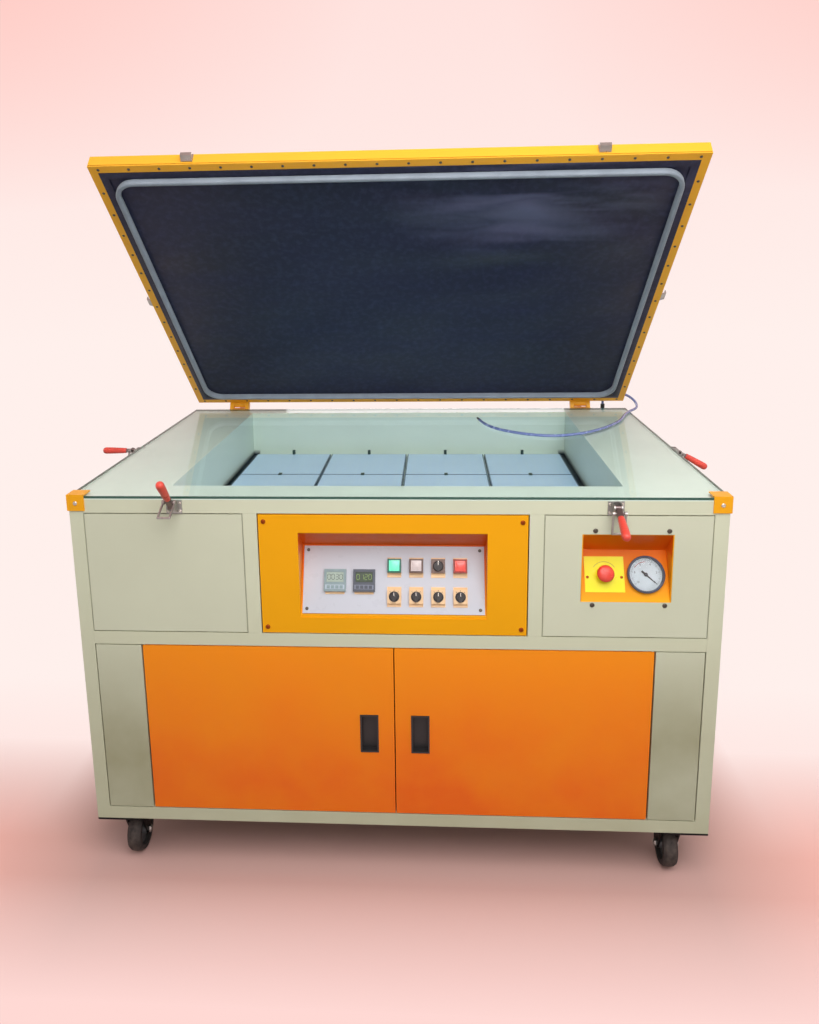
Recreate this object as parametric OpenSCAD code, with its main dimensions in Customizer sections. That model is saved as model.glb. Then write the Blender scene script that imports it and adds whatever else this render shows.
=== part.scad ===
// Screen printing exposure unit with a vacuum lid over an LED light table.
// X points right, Y to the back and Z up. The origin is on the ground, under the cabinet's centre.

/* [Cabinet] */
// Width of the cabinet
cabinet_w = 1400; // [1300:10:1700]
// Depth of the cabinet
cabinet_d = 1000; // [900:10:1300]
// Height of the lower row, behind the doors
lower_row_h = 411; // [340:1:560]
// Height of the upper row, with the controls
upper_row_h = 276; // [270:1:340]
// Side of the square tube
tube = 30; // [28:1:40]
// Wall of the square tube
tube_wall = 1.5; // [1.2:0.1:3]
// Thickness of the folded sheet panels
sheet = 2; // [1.5:0.5:3]
// Shadow gap round inset panels and doors
panel_gap = 2.5; // [2:0.5:4]
// Width of the lip that holds a panel behind its beam
panel_lip = 11; // [6:1:13]
// Width of the plate that carries the controls
control_bay_w = 580; // [560:5:640]
// Width of each fixed panel beside the doors
narrow_panel_w = 108; // [90:2:130]
// Height of the floor sheet's turned up edge
floor_edge_h = 16; // [8:1:28]

/* [Light table] */
// Thickness of the glass
glass_t = 6; // [5:1:10]
// Depth of the bare deck behind the glass
rear_margin = 30; // [28:1:60]
// Width of the light chamber
chamber_w = 1006; // [1000:2:1100]
// Depth of the light chamber
chamber_d = 830; // [780:5:840]
// Deck in front of the light chamber
front_deck = 100; // [90:5:110]
// Depth from the glass top to the LED boards
chamber_drop = 135; // [100:1:160]
// Side of one LED board
led_side = 240; // [200:1:240]
// Thickness of one LED board
led_t = 10; // [6:1:16]
// Slot between LED boards
led_slot = 4; // [2:1:8]
// LED boards across
led_columns = 4; // [2:1:4]
// LED boards from front to back
led_rows = 3; // [1:1:3]
// Gap from the LED boards to the rear wall
led_rear_gap = 30; // [10:1:40]
// Height of a corner guard
guard_h = 36; // [30:1:44]
// Width and depth of a corner guard
guard_w = 38; // [30:1:44]
// Sheet of the corner guards
guard_t = 3; // [2:0.5:4]

/* [Lid] */
// Gap from the lid's side edge to the cabinet's side
lid_side_gap = 2.5; // [0:0.5:30]
// Overhang of the shut lid in front of the cabinet
lid_overhang = 30; // [10:1:34]
// Thickness of the lid from strip to top
lid_t = 33; // [28:1:45]
// Width of the lid's frame profile
lid_rail = 30; // [26:1:45]
// Wall of the lid's frame profile
lid_wall = 2; // [1.5:0.5:3]
// Angle to which the lid stands open
lid_open = 42.3; // [30:0.1:50]
// Gap from the shut lid to the glass
lid_gap = 12; // [11:0.5:16]
// Thickness of the clamping strips
strip_t = 3; // [2:0.5:4]
// Width of the clamping strips
strip_w = 34; // [30:1:38]
// Thickness of the rubber blanket
blanket_t = 2; // [1.5:0.5:3]
// Inset of the blanket from the lid's edge
blanket_inset = 5; // [3:1:10]
// Height of the gasket
gasket_h = 18; // [17:1:22]
// Width of the gasket
gasket_w = 15; // [12:1:20]
// Inset of the gasket from the lid's edge
gasket_inset = 40; // [39:1:60]
// Outer corner radius of the gasket
gasket_r = 55; // [30:1:80]

/* [Hinges and struts] */
// Distance of each hinge from the cabinet's side
hinge_inset = 140; // [115:5:220]
// Hinge pin radius
hinge_pin_r = 6; // [5:0.5:6.5]
// Running clearance of pins and axles
pin_clearance = 0.05; // [0.02:0.01:0.08]
// Hinge pin behind the shut lid's edge
hinge_back = 10; // [10:0.5:12]
// Hinge pin height above the glass
hinge_up = 10; // [9.5:0.5:12]
// Width of the lid's hinge knuckle
knuckle_w = 38; // [30:1:50]
// Radius of the lid's hinge knuckle
knuckle_r = 9; // [8.5:0.5:9]
// Thickness of each hinge ear
ear_t = 12; // [8:1:14]
// Clearance from a hinge ear to the shut lid's edge
ear_clearance = 0.5; // [0.4:0.1:0.8]
// Side clearance of a hinge
hinge_side_gap = 0.5; // [0.3:0.1:1]
// Length of the lever behind each hinge
tail_l = 85; // [75:1:95]
// Thickness of the lever behind each hinge
tail_t = 8; // [6:1:10]
// Radius of the pin at the lever's end
tail_pin_r = 4; // [3.5:0.5:5]
// Radius of a gas spring's rod
rod_r = 5; // [4:0.5:6]
// Radius of a gas spring's cylinder
cylinder_r = 12; // [10:0.5:14]
// Length of a gas spring's cylinder
cylinder_l = 250; // [220:5:258]
// Rod length that stays in the cylinder
rod_inside = 110; // [90:5:130]

/* [Doors] */
// Depth of a door's folded edge
door_t = 22; // [18:1:26]
// Pivot inset from a door's outer front corner
door_pivot_inset = 4; // [3.5:0.5:4.5]
// Radius of a door's pivot pin
door_pin_r = 2; // [1.5:0.25:2.5]
// Length of a door's pivot pin
door_pin_l = 16; // [12:1:20]
// Width of a door pull
pull_w = 41; // [36:1:50]
// Height of a door pull
pull_h = 92; // [80:1:110]
// Depth of a door pull's cup
pull_depth = 15; // [12:1:16]
// Distance of a door pull from the middle
pull_x = 57; // [50:1:70]
// Height of a door pull's middle above the body's underside
pull_z = 232; // [200:1:260]

/* [Controls] */
// Width of the control recess
control_w = 405; // [400:1:430]
// Height of the control recess's mouth
control_h = 194; // [190:1:200]
// Mouth of the control recess above the bay's lower edge
control_sill = 39; // [35:1:45]
// Depth of the control recess
control_depth = 65; // [55:1:80]
// Drop of the control recess's ceiling
control_drop = 50; // [40:1:60]
// Thickness of the white plate
plate_t = 3; // [2:0.5:4]
// Side margin of the white plate
plate_margin = 4; // [2:0.5:6]
// Distance from the recess's sill to the white plate
plate_start = 9; // [8:0.5:12]
// Distance between switches
switch_pitch = 48; // [40:1:50]
// Place of the first switch column
switch_x = 2; // [-10:1:8]
// Side of a square switch bezel
bezel = 30; // [28:1:34]
// Height of a switch bezel
bezel_h = 7; // [5:0.5:9]
// Radius of a button cap
cap_r = 11.2; // [10:0.1:12]
// Clearance round caps and stems
cap_clearance = 0.3; // [0.2:0.05:0.5]
// Travel of a push button
button_travel = 2.5; // [1.5:0.5:3]
// Height of the upper switch row along the slope
upper_switch_s = 112; // [100:1:118]
// Height of the lower switch row along the slope
lower_switch_s = 46; // [36:1:60]
// Height of the timers along the slope
timer_s = 80; // [70:1:90]
// Place of the first timer
timer_x = -128; // [-140:1:-110]
// Distance between the timers
timer_pitch = 64; // [56:1:72]
// Side of a timer's bezel
timer_side = 48; // [48:1:52]
// Height of a timer's bezel
timer_h = 8; // [5:0.5:12]

/* [Vacuum gauge and emergency stop] */
// Width of the gauge recess
gauge_w = 190; // [186:1:200]
// Height of the gauge recess's mouth
gauge_h = 151; // [146:1:156]
// Mouth of the gauge recess above the bay's lower edge
gauge_sill = 82; // [78:1:90]
// Depth of the gauge recess
gauge_depth = 50; // [44:1:60]
// Drop of the gauge recess's ceiling
gauge_drop = 52; // [44:1:54]
// Radius of the vacuum gauge
gauge_r = 39; // [34:0.5:40]
// Height of the gauge's rim above its panel
gauge_rim_h = 9; // [8:0.5:12]
// Gauge's distance from the middle of the recess
gauge_offset = 45.5; // [44:0.5:50]
// Emergency stop's distance from the middle of the recess
estop_offset = 41.5; // [40:0.5:44]
// Height of gauge and stop along the slope
gauge_s = 58; // [50:0.5:58]
// Radius of the emergency stop's head
estop_r = 17.5; // [16:0.5:20]
// Travel of the emergency stop
estop_travel = 4; // [2:0.5:5]
// Width of the stop's yellow plate
estop_plate_w = 84; // [80:1:88]
// Height of the emergency stop's plate
estop_plate_h = 76; // [66:1:82]
// Thickness of the emergency stop's plate
estop_plate_t = 1.5; // [1:0.25:3]
// Radius of the collar under the mushroom head
estop_collar_r = 14; // [12:0.5:15]
// Height of the collar under the mushroom head
estop_collar_h = 9; // [7:0.5:12]
// Radius of the mushroom's stem
estop_stem_r = 8; // [6:0.5:10]

/* [Clamps] */
// Distance of the front clamps from the cabinet's sides
clamp_inset = 233; // [180:1:270]
// Place of the side clamps from front to back
clamp_y = -25; // [-120:1:120]
// Width of a clamp's base
clamp_base_w = 34; // [30:1:44]
// Thickness of a clamp's base and ears
clamp_sheet = 3; // [2:0.5:4]
// Clamp pivot in front of the beam
clamp_reach = 20; // [18:0.5:24]
// Clamp pivot above the beam's middle
clamp_rise = 6; // [4:0.5:7]
// Length of a clamp's handle
handle_l = 95; // [85:1:100]
// Radius of a clamp's grip
grip_r = 8.5; // [7:0.5:9]
// Radius of a clamp's pins and hook wire
hook_r = 2.5; // [2:0.25:3]
// Hook pin along the handle
hook_pin = 18; // [17:0.5:20]
// Length of a clamp's hook
hook_l = 45; // [40:1:50]
// Reach of the keepers on the lid
keeper_reach = 16; // [12:1:17]
// Width of the keepers
keeper_w = 26; // [22:1:30]

/* [Casters] */
// Height of a caster
caster_h = 125; // [122:1:150]
// Radius of a wheel
wheel_r = 50; // [40:1:50]
// Width of a wheel
wheel_w = 32; // [24:1:36]
// Swivel axis inside the cabinet's sides
caster_side_inset = 73; // [60:1:80]
// Swivel axis inside the cabinet's front and back
caster_inset = 38; // [36:1:44]
// Trail of a wheel behind its swivel axis
caster_trail = 25; // [20:1:32]
// Radius of a caster's swivel pin
swivel_r = 6; // [5:0.5:8]
// Radius of a caster's axle
axle_r = 5; // [4:0.5:6]

/* [Vacuum hose] */
// Hose elbow from the cabinet's side
hose_inset = 60; // [40:5:80]
// Height of the elbow's axis below the deck
hose_drop = 14; // [12:0.5:18]
// Reach of the elbow behind the cabinet
hose_stub_l = 32; // [26:1:40]
// Height of the elbow's upright end
hose_stub_h = 24; // [18:1:30]
// Radius of the elbow
hose_stub_r = 6.5; // [5.5:0.5:8]
// Length of the ferrule on the hose's free end
ferrule_l = 10; // [8:1:16]
// Radius of the nipple on the hose's free end
nipple_r = 3; // [2.5:0.25:3.5]
// Length of the nipple
nipple_l = 16; // [12:1:24]

/* [Pump and power supplies] */
// Middle of the pump from the cabinet's right side
pump_inset = 350; // [300:5:400]
// Place of the pump behind the cabinet's middle
pump_y = 120; // [60:5:240]
// Length of the pump's base
pump_l = 300; // [290:5:360]
// Width of the pump's base
pump_w = 120; // [110:5:160]
// Thickness of the pump's base
pump_base_t = 8; // [5:1:12]
// Radius of the pump's motor
motor_r = 62; // [50:1:70]
// Length of the motor with its fan cover
motor_l = 186; // [160:2:200]
// Height of the saddle under the motor
saddle_h = 26; // [22:1:40]
// Width of the pump's head
head_w = 92; // [80:2:110]
// Height of the pump's head
head_h = 132; // [110:2:150]
// Cooling fins of the pump's head
head_fins = 7; // [4:1:8]
// Radius of the mufflers on the pump's head
muffler_r = 16; // [12:1:20]
// Height of the mufflers
muffler_h = 34; // [24:1:50]
// Left end of the power supplies from the cabinet's left side
driver_inset = 220; // [140:5:260]
// Front of the first power supply behind the cabinet's middle
driver_y = 60; // [20:5:120]
// Length of a power supply
driver_l = 230; // [200:5:260]
// Width of a power supply
driver_w = 120; // [100:5:130]
// Height of a power supply
driver_h = 52; // [40:1:70]
// Gap between the power supplies
driver_gap = 60; // [40:5:90]

/* [Hidden] */
$fn = 48;
eps = 0.01;
weld_gap = 0.2;
seat_gap = 0.3;

floor_z = caster_h;
low_row_z = floor_z + tube;
mid_z = low_row_z + lower_row_h;
up_row_z = mid_z + tube;
top_beam_z = up_row_z + upper_row_h;
deck_z = top_beam_z + tube;
glass_z = deck_z + sheet;
glass_top_z = glass_z + glass_t;

front_y = -cabinet_d / 2;
back_y = cabinet_d / 2;
side_x = cabinet_w / 2;
bay_x = control_bay_w / 2;
door_edge_x = side_x - tube - narrow_panel_w;
door_w = door_edge_x - panel_gap / 2;
door_h = lower_row_h - 2 * panel_gap;
door_z = low_row_z + panel_gap;
door_pivot_x = door_edge_x - door_pivot_inset;
door_pivot_y = front_y + door_pivot_inset;
pivot_block = 2 * door_pivot_inset;
pull_wall = 1.5;
pull_rim = 2;

chamber_front_y = front_y + front_deck;
led_z = glass_top_z - chamber_drop - led_t;
led_rear_y = chamber_front_y + chamber_d - led_rear_gap;
led_pitch = led_side + led_slot;

hinge_z = glass_top_z + hinge_up;
lid_z = glass_top_z + lid_gap;
hinge_base_t = hinge_up - knuckle_r + glass_t - 2;
hinge_y = back_y + 2;
hinge_x = side_x - hinge_inset;
ear_r = hinge_back - ear_clearance;
ear_foot = 18;
lid_w = cabinet_w - 2 * lid_side_gap;
lid_rear_y = hinge_y - hinge_back;
lid_front_y = front_y - lid_overhang;
lid_l = lid_rear_y - lid_front_y;
hinge_block_w = knuckle_w + 2 * hinge_side_gap + 2 * ear_t;
hinge_base_d = 26;
tail_half = lid_open / 2;
tail_h = 15;
tail_end_r = 9;
tail_side = tail_t / 2 + 2;
rod_end_w = 12;
rod_x = hinge_x + tail_side + rod_end_w / 2;
rod_y = hinge_y + tail_l * (1 + cos(tail_half)) / 2;
slot_play = tail_l * (1 - cos(tail_half)) / 2 + 0.5;
rod_end_z = hinge_z - tail_l * sin(tail_half);
rod_end_h = 22;
bracket_t = 4;
cylinder_z = mid_z + tube;

control_sill_z = up_row_z + control_sill;
control_slope = atan(control_depth / (control_h - control_drop));
control_run = norm([control_depth, control_h - control_drop]);
plate_l = control_run - plate_start - 3;
plate_w = control_w - 2 * plate_margin;
gauge_sill_z = up_row_z + gauge_sill;
gauge_slope = atan(gauge_depth / (gauge_h - gauge_drop));
gauge_bay_x = (bay_x + side_x) / 2;
gauge_x = gauge_bay_x + gauge_offset;
estop_x = gauge_bay_x - estop_offset;
gauge_floor = 3;
estop_web = 1;
pointer_pin_r = 1.5;
pointer_rest = -132;

clamp_x = side_x - clamp_inset;
clamp_z = top_beam_z + tube / 2;
ear_gap = 12;
strap_w = 11;
hook_side = ear_gap / 2 + clamp_sheet + 1 + hook_r;
hook_hang = -75;
front_left_angle = 47;
front_right_angle = -22;
side_left_angle = 0;
side_right_angle = -30;

pump_x = side_x - pump_inset;
driver_x = driver_inset - side_x;

caster_x = side_x - caster_side_inset;
caster_y = cabinet_d / 2 - caster_inset;
caster_plate_t = 5;
caster_plate_w = 96;
caster_plate_d = 70;
fork_gap = 2;
fork_sheet = 4;
crown_t = 8;

hose_r = 4;
hose_sides = 8;
hose_steps = 2;
hose_exit = [side_x - hose_inset, back_y + hose_stub_l, deck_z - hose_drop + hose_stub_h];
hose_rise = [
    [0, 0, 0], [0, 0, 12], [5, 0, 24], [17, 0, 32], [36, -2, 36], [58, -6, 35],
    [77, -15, 29], [90, -30, 20], [95, -50, 12], [93, -72, 6], [85, -94, 3]
];
hose_lay = [
    [72, -115], [57, -137], [42, -164], [28, -197], [14, -234], [-3, -277], [-26, -318],
    [-54, -360], [-84, -396], [-114, -426], [-146, -450], [-180, -468], [-214, -478], [-250, -476],
    [-284, -464], [-316, -444], [-347, -418], [-373, -387], [-393, -350], [-407, -308], [-416, -264]
];
hose_points = concat(
    [for (p = hose_rise) hose_exit + p],
    [for (p = hose_lay) [hose_exit[0] + p[0], hose_exit[1] + p[1], glass_top_z + hose_r + seat_gap]]
);

cabinet_grey = [0.75, 0.76, 0.68];
orange = [0.93, 0.5, 0.08];
steel = [0.7, 0.7, 0.7];
black = [0.08, 0.08, 0.08];
dark = [0.16, 0.17, 0.2];
white = [0.92, 0.92, 0.92];

// A hollow bar of the given size whose tube runs along axis 0, 1 or 2.
module hollow_bar(size, axis) {
    bore = [for (i = [0:2]) i == axis ? size[i] + 2 : size[i] - 2 * tube_wall];
    start = [for (i = [0:2]) i == axis ? -1 : tube_wall];
    difference() {
        cube(size);
        translate(start) cube(bore);
    }
}

// The flat outline of a rectangle with round corners, centred.
module round_rect(w, d, r) {
    square([w - 2 * r, d], center = true);
    square([w, d - 2 * r], center = true);
    for (x = [-1, 1], y = [-1, 1]) translate([x * (w / 2 - r), y * (d / 2 - r)]) circle(r);
}

// Turns a front-to-back profile, drawn as [depth, height], into a solid of width w centred on X.
module across(w) {
    rotate([90, 0, 90]) translate([0, 0, -w / 2]) linear_extrude(w) children();
}

// The welded frame of square tube, with the pins that the doors turn on.
module cabinet_frame() {
    color(cabinet_grey) {
        inner_w = cabinet_w - 2 * tube - 2 * weld_gap;
        inner_d = cabinet_d - 2 * tube - 2 * weld_gap;
        upright_h = upper_row_h - 2 * weld_gap;
        for (x = [-side_x, side_x - tube], y = [front_y, back_y - tube]) {
            translate([x, y, floor_z]) hollow_bar([tube, tube, deck_z - floor_z], 2);
        }
        for (z = [floor_z, mid_z, top_beam_z]) {
            for (y = [front_y, back_y - tube]) {
                translate([-inner_w / 2, y, z]) hollow_bar([inner_w, tube, tube], 0);
            }
            for (x = [-side_x, side_x - tube]) {
                translate([x, -inner_d / 2, z]) hollow_bar([tube, inner_d, tube], 1);
            }
        }
        for (x = [-bay_x - tube, bay_x]) {
            translate([x, front_y, up_row_z + weld_gap]) hollow_bar([tube, tube, upright_h], 2);
        }
        for (side = [-1, 1]) translate([side * door_pivot_x, door_pivot_y, 0]) {
            translate([0, 0, low_row_z - tube_wall]) cylinder(r = door_pin_r, h = door_pin_l + tube_wall);
            translate([0, 0, mid_z - door_pin_l]) cylinder(r = door_pin_r, h = door_pin_l + tube_wall);
        }
    }
}

// A folded panel for an opening of w by h, whose lips lie behind the beams above and below it.
module inset_panel(w, h) {
    face_w = w - 2 * panel_gap;
    face_h = h - 2 * panel_gap;
    translate([panel_gap, 0, panel_gap]) difference() {
        cube([face_w, tube, face_h]);
        translate([sheet, sheet, sheet]) cube([face_w - 2 * sheet, tube, face_h - 2 * sheet]);
    }
    translate([panel_gap, tube, -panel_lip]) cube([face_w, sheet, panel_lip + panel_gap + sheet]);
    translate([panel_gap, tube, h - panel_gap - sheet]) cube([face_w, sheet, panel_lip + panel_gap + sheet]);
}

// The four fixed panels of the front, the upper right one cut out for the gauge recess.
module front_panels() {
    color(cabinet_grey) {
        upper_w = side_x - tube - bay_x - tube;
        translate([-side_x + tube, front_y, up_row_z]) inset_panel(upper_w, upper_row_h);
        difference() {
            translate([bay_x + tube, front_y, up_row_z]) inset_panel(upper_w, upper_row_h);
            translate([gauge_bay_x - gauge_w / 2, front_y - 1, gauge_sill_z]) cube([gauge_w, tube, gauge_h]);
        }
        translate([-side_x + tube, front_y, low_row_z]) inset_panel(narrow_panel_w, lower_row_h);
        translate([door_edge_x, front_y, low_row_z]) inset_panel(narrow_panel_w, lower_row_h);
    }
}

// Two panels on each side, one for each row.
module side_panels() {
    color(cabinet_grey) {
        run = cabinet_d - 2 * tube;
        for (row = [[low_row_z, lower_row_h], [up_row_z, upper_row_h]]) {
            translate([-side_x, run / 2, row[0]]) rotate([0, 0, -90]) inset_panel(run, row[1]);
            translate([side_x, -run / 2, row[0]]) rotate([0, 0, 90]) inset_panel(run, row[1]);
        }
    }
}

// Two panels at the back, one for each row.
module rear_panel() {
    color(cabinet_grey) {
        run = cabinet_w - 2 * tube;
        for (row = [[low_row_z, lower_row_h], [up_row_z, upper_row_h]]) {
            translate([run / 2, back_y, row[0]]) rotate([0, 0, 180]) inset_panel(run, row[1]);
        }
    }
}

// The floor of the cupboard, a shallow tray between the lowest beams.
module floor_panel() {
    color(cabinet_grey) {
        w = cabinet_w - 2 * tube - 2 * seat_gap;
        d = cabinet_d - 2 * tube - 2 * seat_gap;
        translate([-w / 2, -d / 2, floor_z]) difference() {
            cube([w, d, floor_edge_h]);
            translate([sheet, sheet, sheet]) cube([w - 2 * sheet, d - 2 * sheet, floor_edge_h]);
        }
    }
}

// The deck and the light chamber under it, folded from one kind of sheet.
module light_box() {
    color(cabinet_grey) difference() {
        union() {
            translate([-side_x, front_y, deck_z]) cube([cabinet_w, cabinet_d, sheet]);
            translate([-chamber_w / 2 - sheet, chamber_front_y - sheet, led_z - sheet])
                cube([chamber_w + 2 * sheet, chamber_d + 2 * sheet, glass_z - led_z + sheet]);
        }
        translate([-chamber_w / 2, chamber_front_y, led_z]) cube([chamber_w, chamber_d, glass_z - led_z + 1]);
    }
}

// The LED boards on the floor of the light chamber.
module led_boards() {
    color([0.62, 0.76, 0.92]) for (column = [0:led_columns - 1], row = [0:led_rows - 1]) {
        x = (column - led_columns / 2) * led_pitch + led_slot / 2;
        y = led_rear_y - led_side - row * led_pitch;
        translate([x, y, led_z]) cube([led_side, led_side, led_t]);
    }
}

// The glass on which screens are laid.
module glass_top() {
    color([0.6, 0.8, 0.75, 0.4]) translate([-side_x, front_y, glass_z])
        cube([cabinet_w, cabinet_d - rear_margin, glass_t]);
}

// Folded guards over the two front corners of the glass.
module corner_guards() {
    color(orange) for (side = [0, 1]) mirror([side, 0, 0]) {
        translate([-side_x - guard_t, front_y - guard_t, glass_top_z + guard_t - guard_h]) difference() {
            cube([guard_w, guard_w, guard_h]);
            translate([guard_t, guard_t, -guard_t]) cube([guard_w, guard_w, guard_h]);
        }
    }
}

// The profile of a recess: its ceiling drops to the back, and its panel leans forward to the sill.
module recess_profile(depth, h, drop, grow) {
    slope = atan(depth / (h - drop));
    fall = atan(drop / depth);
    panel_out = [cos(slope), -sin(slope)];
    ceiling_out = [sin(fall), cos(fall)];
    corner = grow / (1 + panel_out * ceiling_out) * (panel_out + ceiling_out);
    polygon([
        [-1, -grow / sin(slope)],
        [0, -grow / sin(slope)],
        [depth, h - drop] + corner,
        [0, h + grow / cos(fall)],
        [-1, h + grow / cos(fall)]
    ]);
}

// A folded recess of width w, open at the front.
module recess_shell(w, depth, h, drop) {
    difference() {
        intersection() {
            across(w + 2 * sheet) recess_profile(depth, h, drop, sheet);
            translate([-w, 0, -h]) cube([2 * w, 2 * h, 3 * h]);
        }
        across(w) recess_profile(depth, h, drop, 0);
    }
}

// The orange control box: a flush plate with the recess that holds the controls.
module control_box() {
    color(orange) {
        w = control_bay_w - 2 * panel_gap;
        h = upper_row_h - 2 * panel_gap;
        difference() {
            translate([-w / 2, front_y, up_row_z + panel_gap]) cube([w, sheet, h]);
            translate([-control_w / 2, front_y - 1, control_sill_z]) cube([control_w, sheet + 2, control_h]);
        }
        translate([0, front_y, control_sill_z]) difference() {
            recess_shell(control_w, control_depth, control_h, control_drop);
            translate([-control_w / 2, -1, 0]) cube([control_w, sheet + 1, control_h]);
        }
        for (x = [-w / 2, w / 2 - sheet]) translate([x, front_y, up_row_z + panel_gap])
            cube([sheet, tube, h]);
        for (z = [up_row_z - panel_lip, up_row_z + upper_row_h - panel_gap - sheet])
            translate([-w / 2, front_y + tube, z]) cube([w, sheet, panel_lip + panel_gap + sheet]);
        for (z = [up_row_z + panel_gap, up_row_z + upper_row_h - panel_gap - sheet])
            translate([-w / 2, front_y, z]) cube([w, tube, sheet]);
    }
}

// Places a child on the sloping control panel: X across, Y up the slope from the sill, Z outwards.
module on_control_panel() {
    translate([0, front_y, control_sill_z]) rotate([90 - control_slope, 0, 0]) children();
}

// The white plate that the switches and timers are fixed to.
module control_plate() {
    color(white) on_control_panel() translate([-plate_w / 2, plate_start, 0])
        cube([plate_w, plate_l, plate_t]);
}

// Places a child on the white plate, at one column of the upper or lower row of switches.
module at_switch(column, upper) {
    s = upper ? upper_switch_s : lower_switch_s;
    on_control_panel() translate([switch_x + column * switch_pitch, s, plate_t]) children();
}

// Square bezels, each bored for the cap or selector that moves in it.
module switch_bezels() {
    color(dark) for (column = [0:3], upper = [true, false]) at_switch(column, upper) difference() {
        translate([-bezel / 2, -bezel / 2, 0]) cube([bezel, bezel, bezel_h]);
        translate([0, 0, -1]) cylinder(r = cap_r + cap_clearance, h = bezel_h + 2);
    }
}

// Two digital timers with a sunk display and a row of keys under it.
module timers() {
    half = timer_side / 2;
    rim = 5;
    display_low = -4;
    display_h = half - 2;
    display_sink = 2;
    key = 7;
    key_pitch = 9.5;
    key_low = 6 - half;
    key_h = 1.5;
    color(dark) for (i = [0, 1]) on_control_panel() translate([timer_x + i * timer_pitch, timer_s, plate_t]) {
        difference() {
            translate([-half, -half, 0]) cube([timer_side, timer_side, timer_h]);
            translate([rim - half, display_low, timer_h - display_sink])
                cube([timer_side - 2 * rim, display_h, display_sink + 1]);
        }
        for (column = [-1.5:1:1.5]) translate([column * key_pitch - key / 2, key_low, timer_h - eps])
            cube([key, key, key_h]);
    }
}

// A push button's cap, which stands clear of the plate by its travel.
module button_cap(column) {
    at_switch(column, true) translate([0, 0, button_travel + cap_clearance]) {
        cylinder(r = cap_r, h = bezel_h);
        translate([0, 0, bezel_h - eps]) cylinder(r1 = cap_r, r2 = cap_r - 1, h = 1);
    }
}

module button_green() {
    color([0.1, 0.6, 0.4]) button_cap(0);
}

module button_white() {
    color([0.8, 0.8, 0.8]) button_cap(1);
}

module button_red() {
    color([0.85, 0.12, 0.1]) button_cap(3);
}

// A selector: a round base in the bezel with a raised finger bar, which stands at angle.
module selector(column, upper, angle) {
    color(black) at_switch(column, upper) translate([0, 0, cap_clearance]) rotate([0, 0, angle]) {
        cylinder(r = cap_r, h = bezel_h + 1);
        translate([-3, -cap_r + 0.5, bezel_h]) cube([6, 2 * cap_r - 1, 8]);
    }
}

module selector_upper() {
    selector(2, true, 0);
}

module selector_lower_1() {
    selector(0, false, 0);
}

module selector_lower_2() {
    selector(1, false, 0);
}

module selector_lower_3() {
    selector(2, false, 0);
}

module selector_lower_4() {
    selector(3, false, 0);
}

// The orange gauge box, set in from behind the upper right panel.
module gauge_box() {
    flange = 12;
    color(orange) translate([gauge_bay_x, front_y, gauge_sill_z]) {
        difference() {
            recess_shell(gauge_w - 2 * sheet - 2 * seat_gap, gauge_depth, gauge_h, gauge_drop);
            translate([-gauge_w, -1, -gauge_h]) cube([2 * gauge_w, 1 + sheet + seat_gap, gauge_h]);
            translate([-gauge_w, -1, gauge_h]) cube([2 * gauge_w, 1 + sheet + seat_gap, gauge_h]);
        }
        difference() {
            translate([-gauge_w / 2 - flange, sheet + seat_gap, -flange])
                cube([gauge_w + 2 * flange, sheet, gauge_h + 2 * flange]);
            translate([-gauge_w / 2 + sheet + seat_gap, 0, 0])
                cube([gauge_w - 2 * sheet - 2 * seat_gap, 3 * sheet, gauge_h]);
            across(gauge_w) recess_profile(gauge_depth, gauge_h, gauge_drop, 0);
        }
    }
}

// Places a child on the sloping gauge panel: X across, Y up the slope from the sill, Z outwards.
module on_gauge_panel() {
    translate([0, front_y, gauge_sill_z]) rotate([90 - gauge_slope, 0, 0]) children();
}

// The gauge's cup with its dial face and the pin that the pointer turns on.
module gauge_case() {
    color(steel) on_gauge_panel() translate([gauge_x, gauge_s, 0]) {
        difference() {
            cylinder(r = gauge_r, h = gauge_rim_h);
            translate([0, 0, gauge_floor]) cylinder(r = gauge_r - 4, h = gauge_rim_h);
        }
        cylinder(r = pointer_pin_r, h = gauge_floor + 3.5);
    }
}

// The pointer, bored for its pin, with a short counterweight. It rests at the scale's zero.
module gauge_pointer() {
    needle_l = gauge_r - 9;
    needle_t = 1.2;
    tail = 11;
    color(black) on_gauge_panel() translate([gauge_x, gauge_s, gauge_floor + cap_clearance])
        rotate([0, 0, pointer_rest]) difference() {
            union() {
                cylinder(r = 4, h = 2);
                linear_extrude(needle_t) polygon([[-1.6, 0], [-0.5, needle_l], [0.5, needle_l], [1.6, 0]]);
                translate([-2, -tail, 0]) cube([4, tail, needle_t]);
            }
            translate([0, 0, -1]) cylinder(r = pointer_pin_r + pin_clearance, h = 5);
        }
}

// The yellow plate and collar of the emergency stop.
module estop_base() {
    color([0.95, 0.8, 0.1]) on_gauge_panel() translate([estop_x, gauge_s, 0]) difference() {
        union() {
            translate([-estop_plate_w / 2, -estop_plate_h / 2, 0])
                cube([estop_plate_w, estop_plate_h, estop_plate_t]);
            cylinder(r = estop_collar_r, h = estop_collar_h);
        }
        translate([0, 0, estop_web]) cylinder(r = estop_stem_r + cap_clearance, h = estop_collar_h + 1);
    }
}

// The mushroom head of the emergency stop on its stem.
module estop_button() {
    low = estop_web + cap_clearance + estop_travel;
    under = estop_collar_h + cap_clearance + estop_travel;
    side = under + 1.7;
    shoulder = side + 4;
    crown = side + 7.5;
    color([0.85, 0.12, 0.08]) on_gauge_panel() translate([estop_x, gauge_s, 0]) rotate_extrude() polygon([
        [0, low],
        [estop_stem_r, low],
        [estop_stem_r, under],
        [estop_r - 2, under],
        [estop_r, side],
        [estop_r, shoulder],
        [estop_r - 3, crown],
        [estop_stem_r, crown + 2],
        [0, crown + 2.5]
    ]);
}

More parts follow.
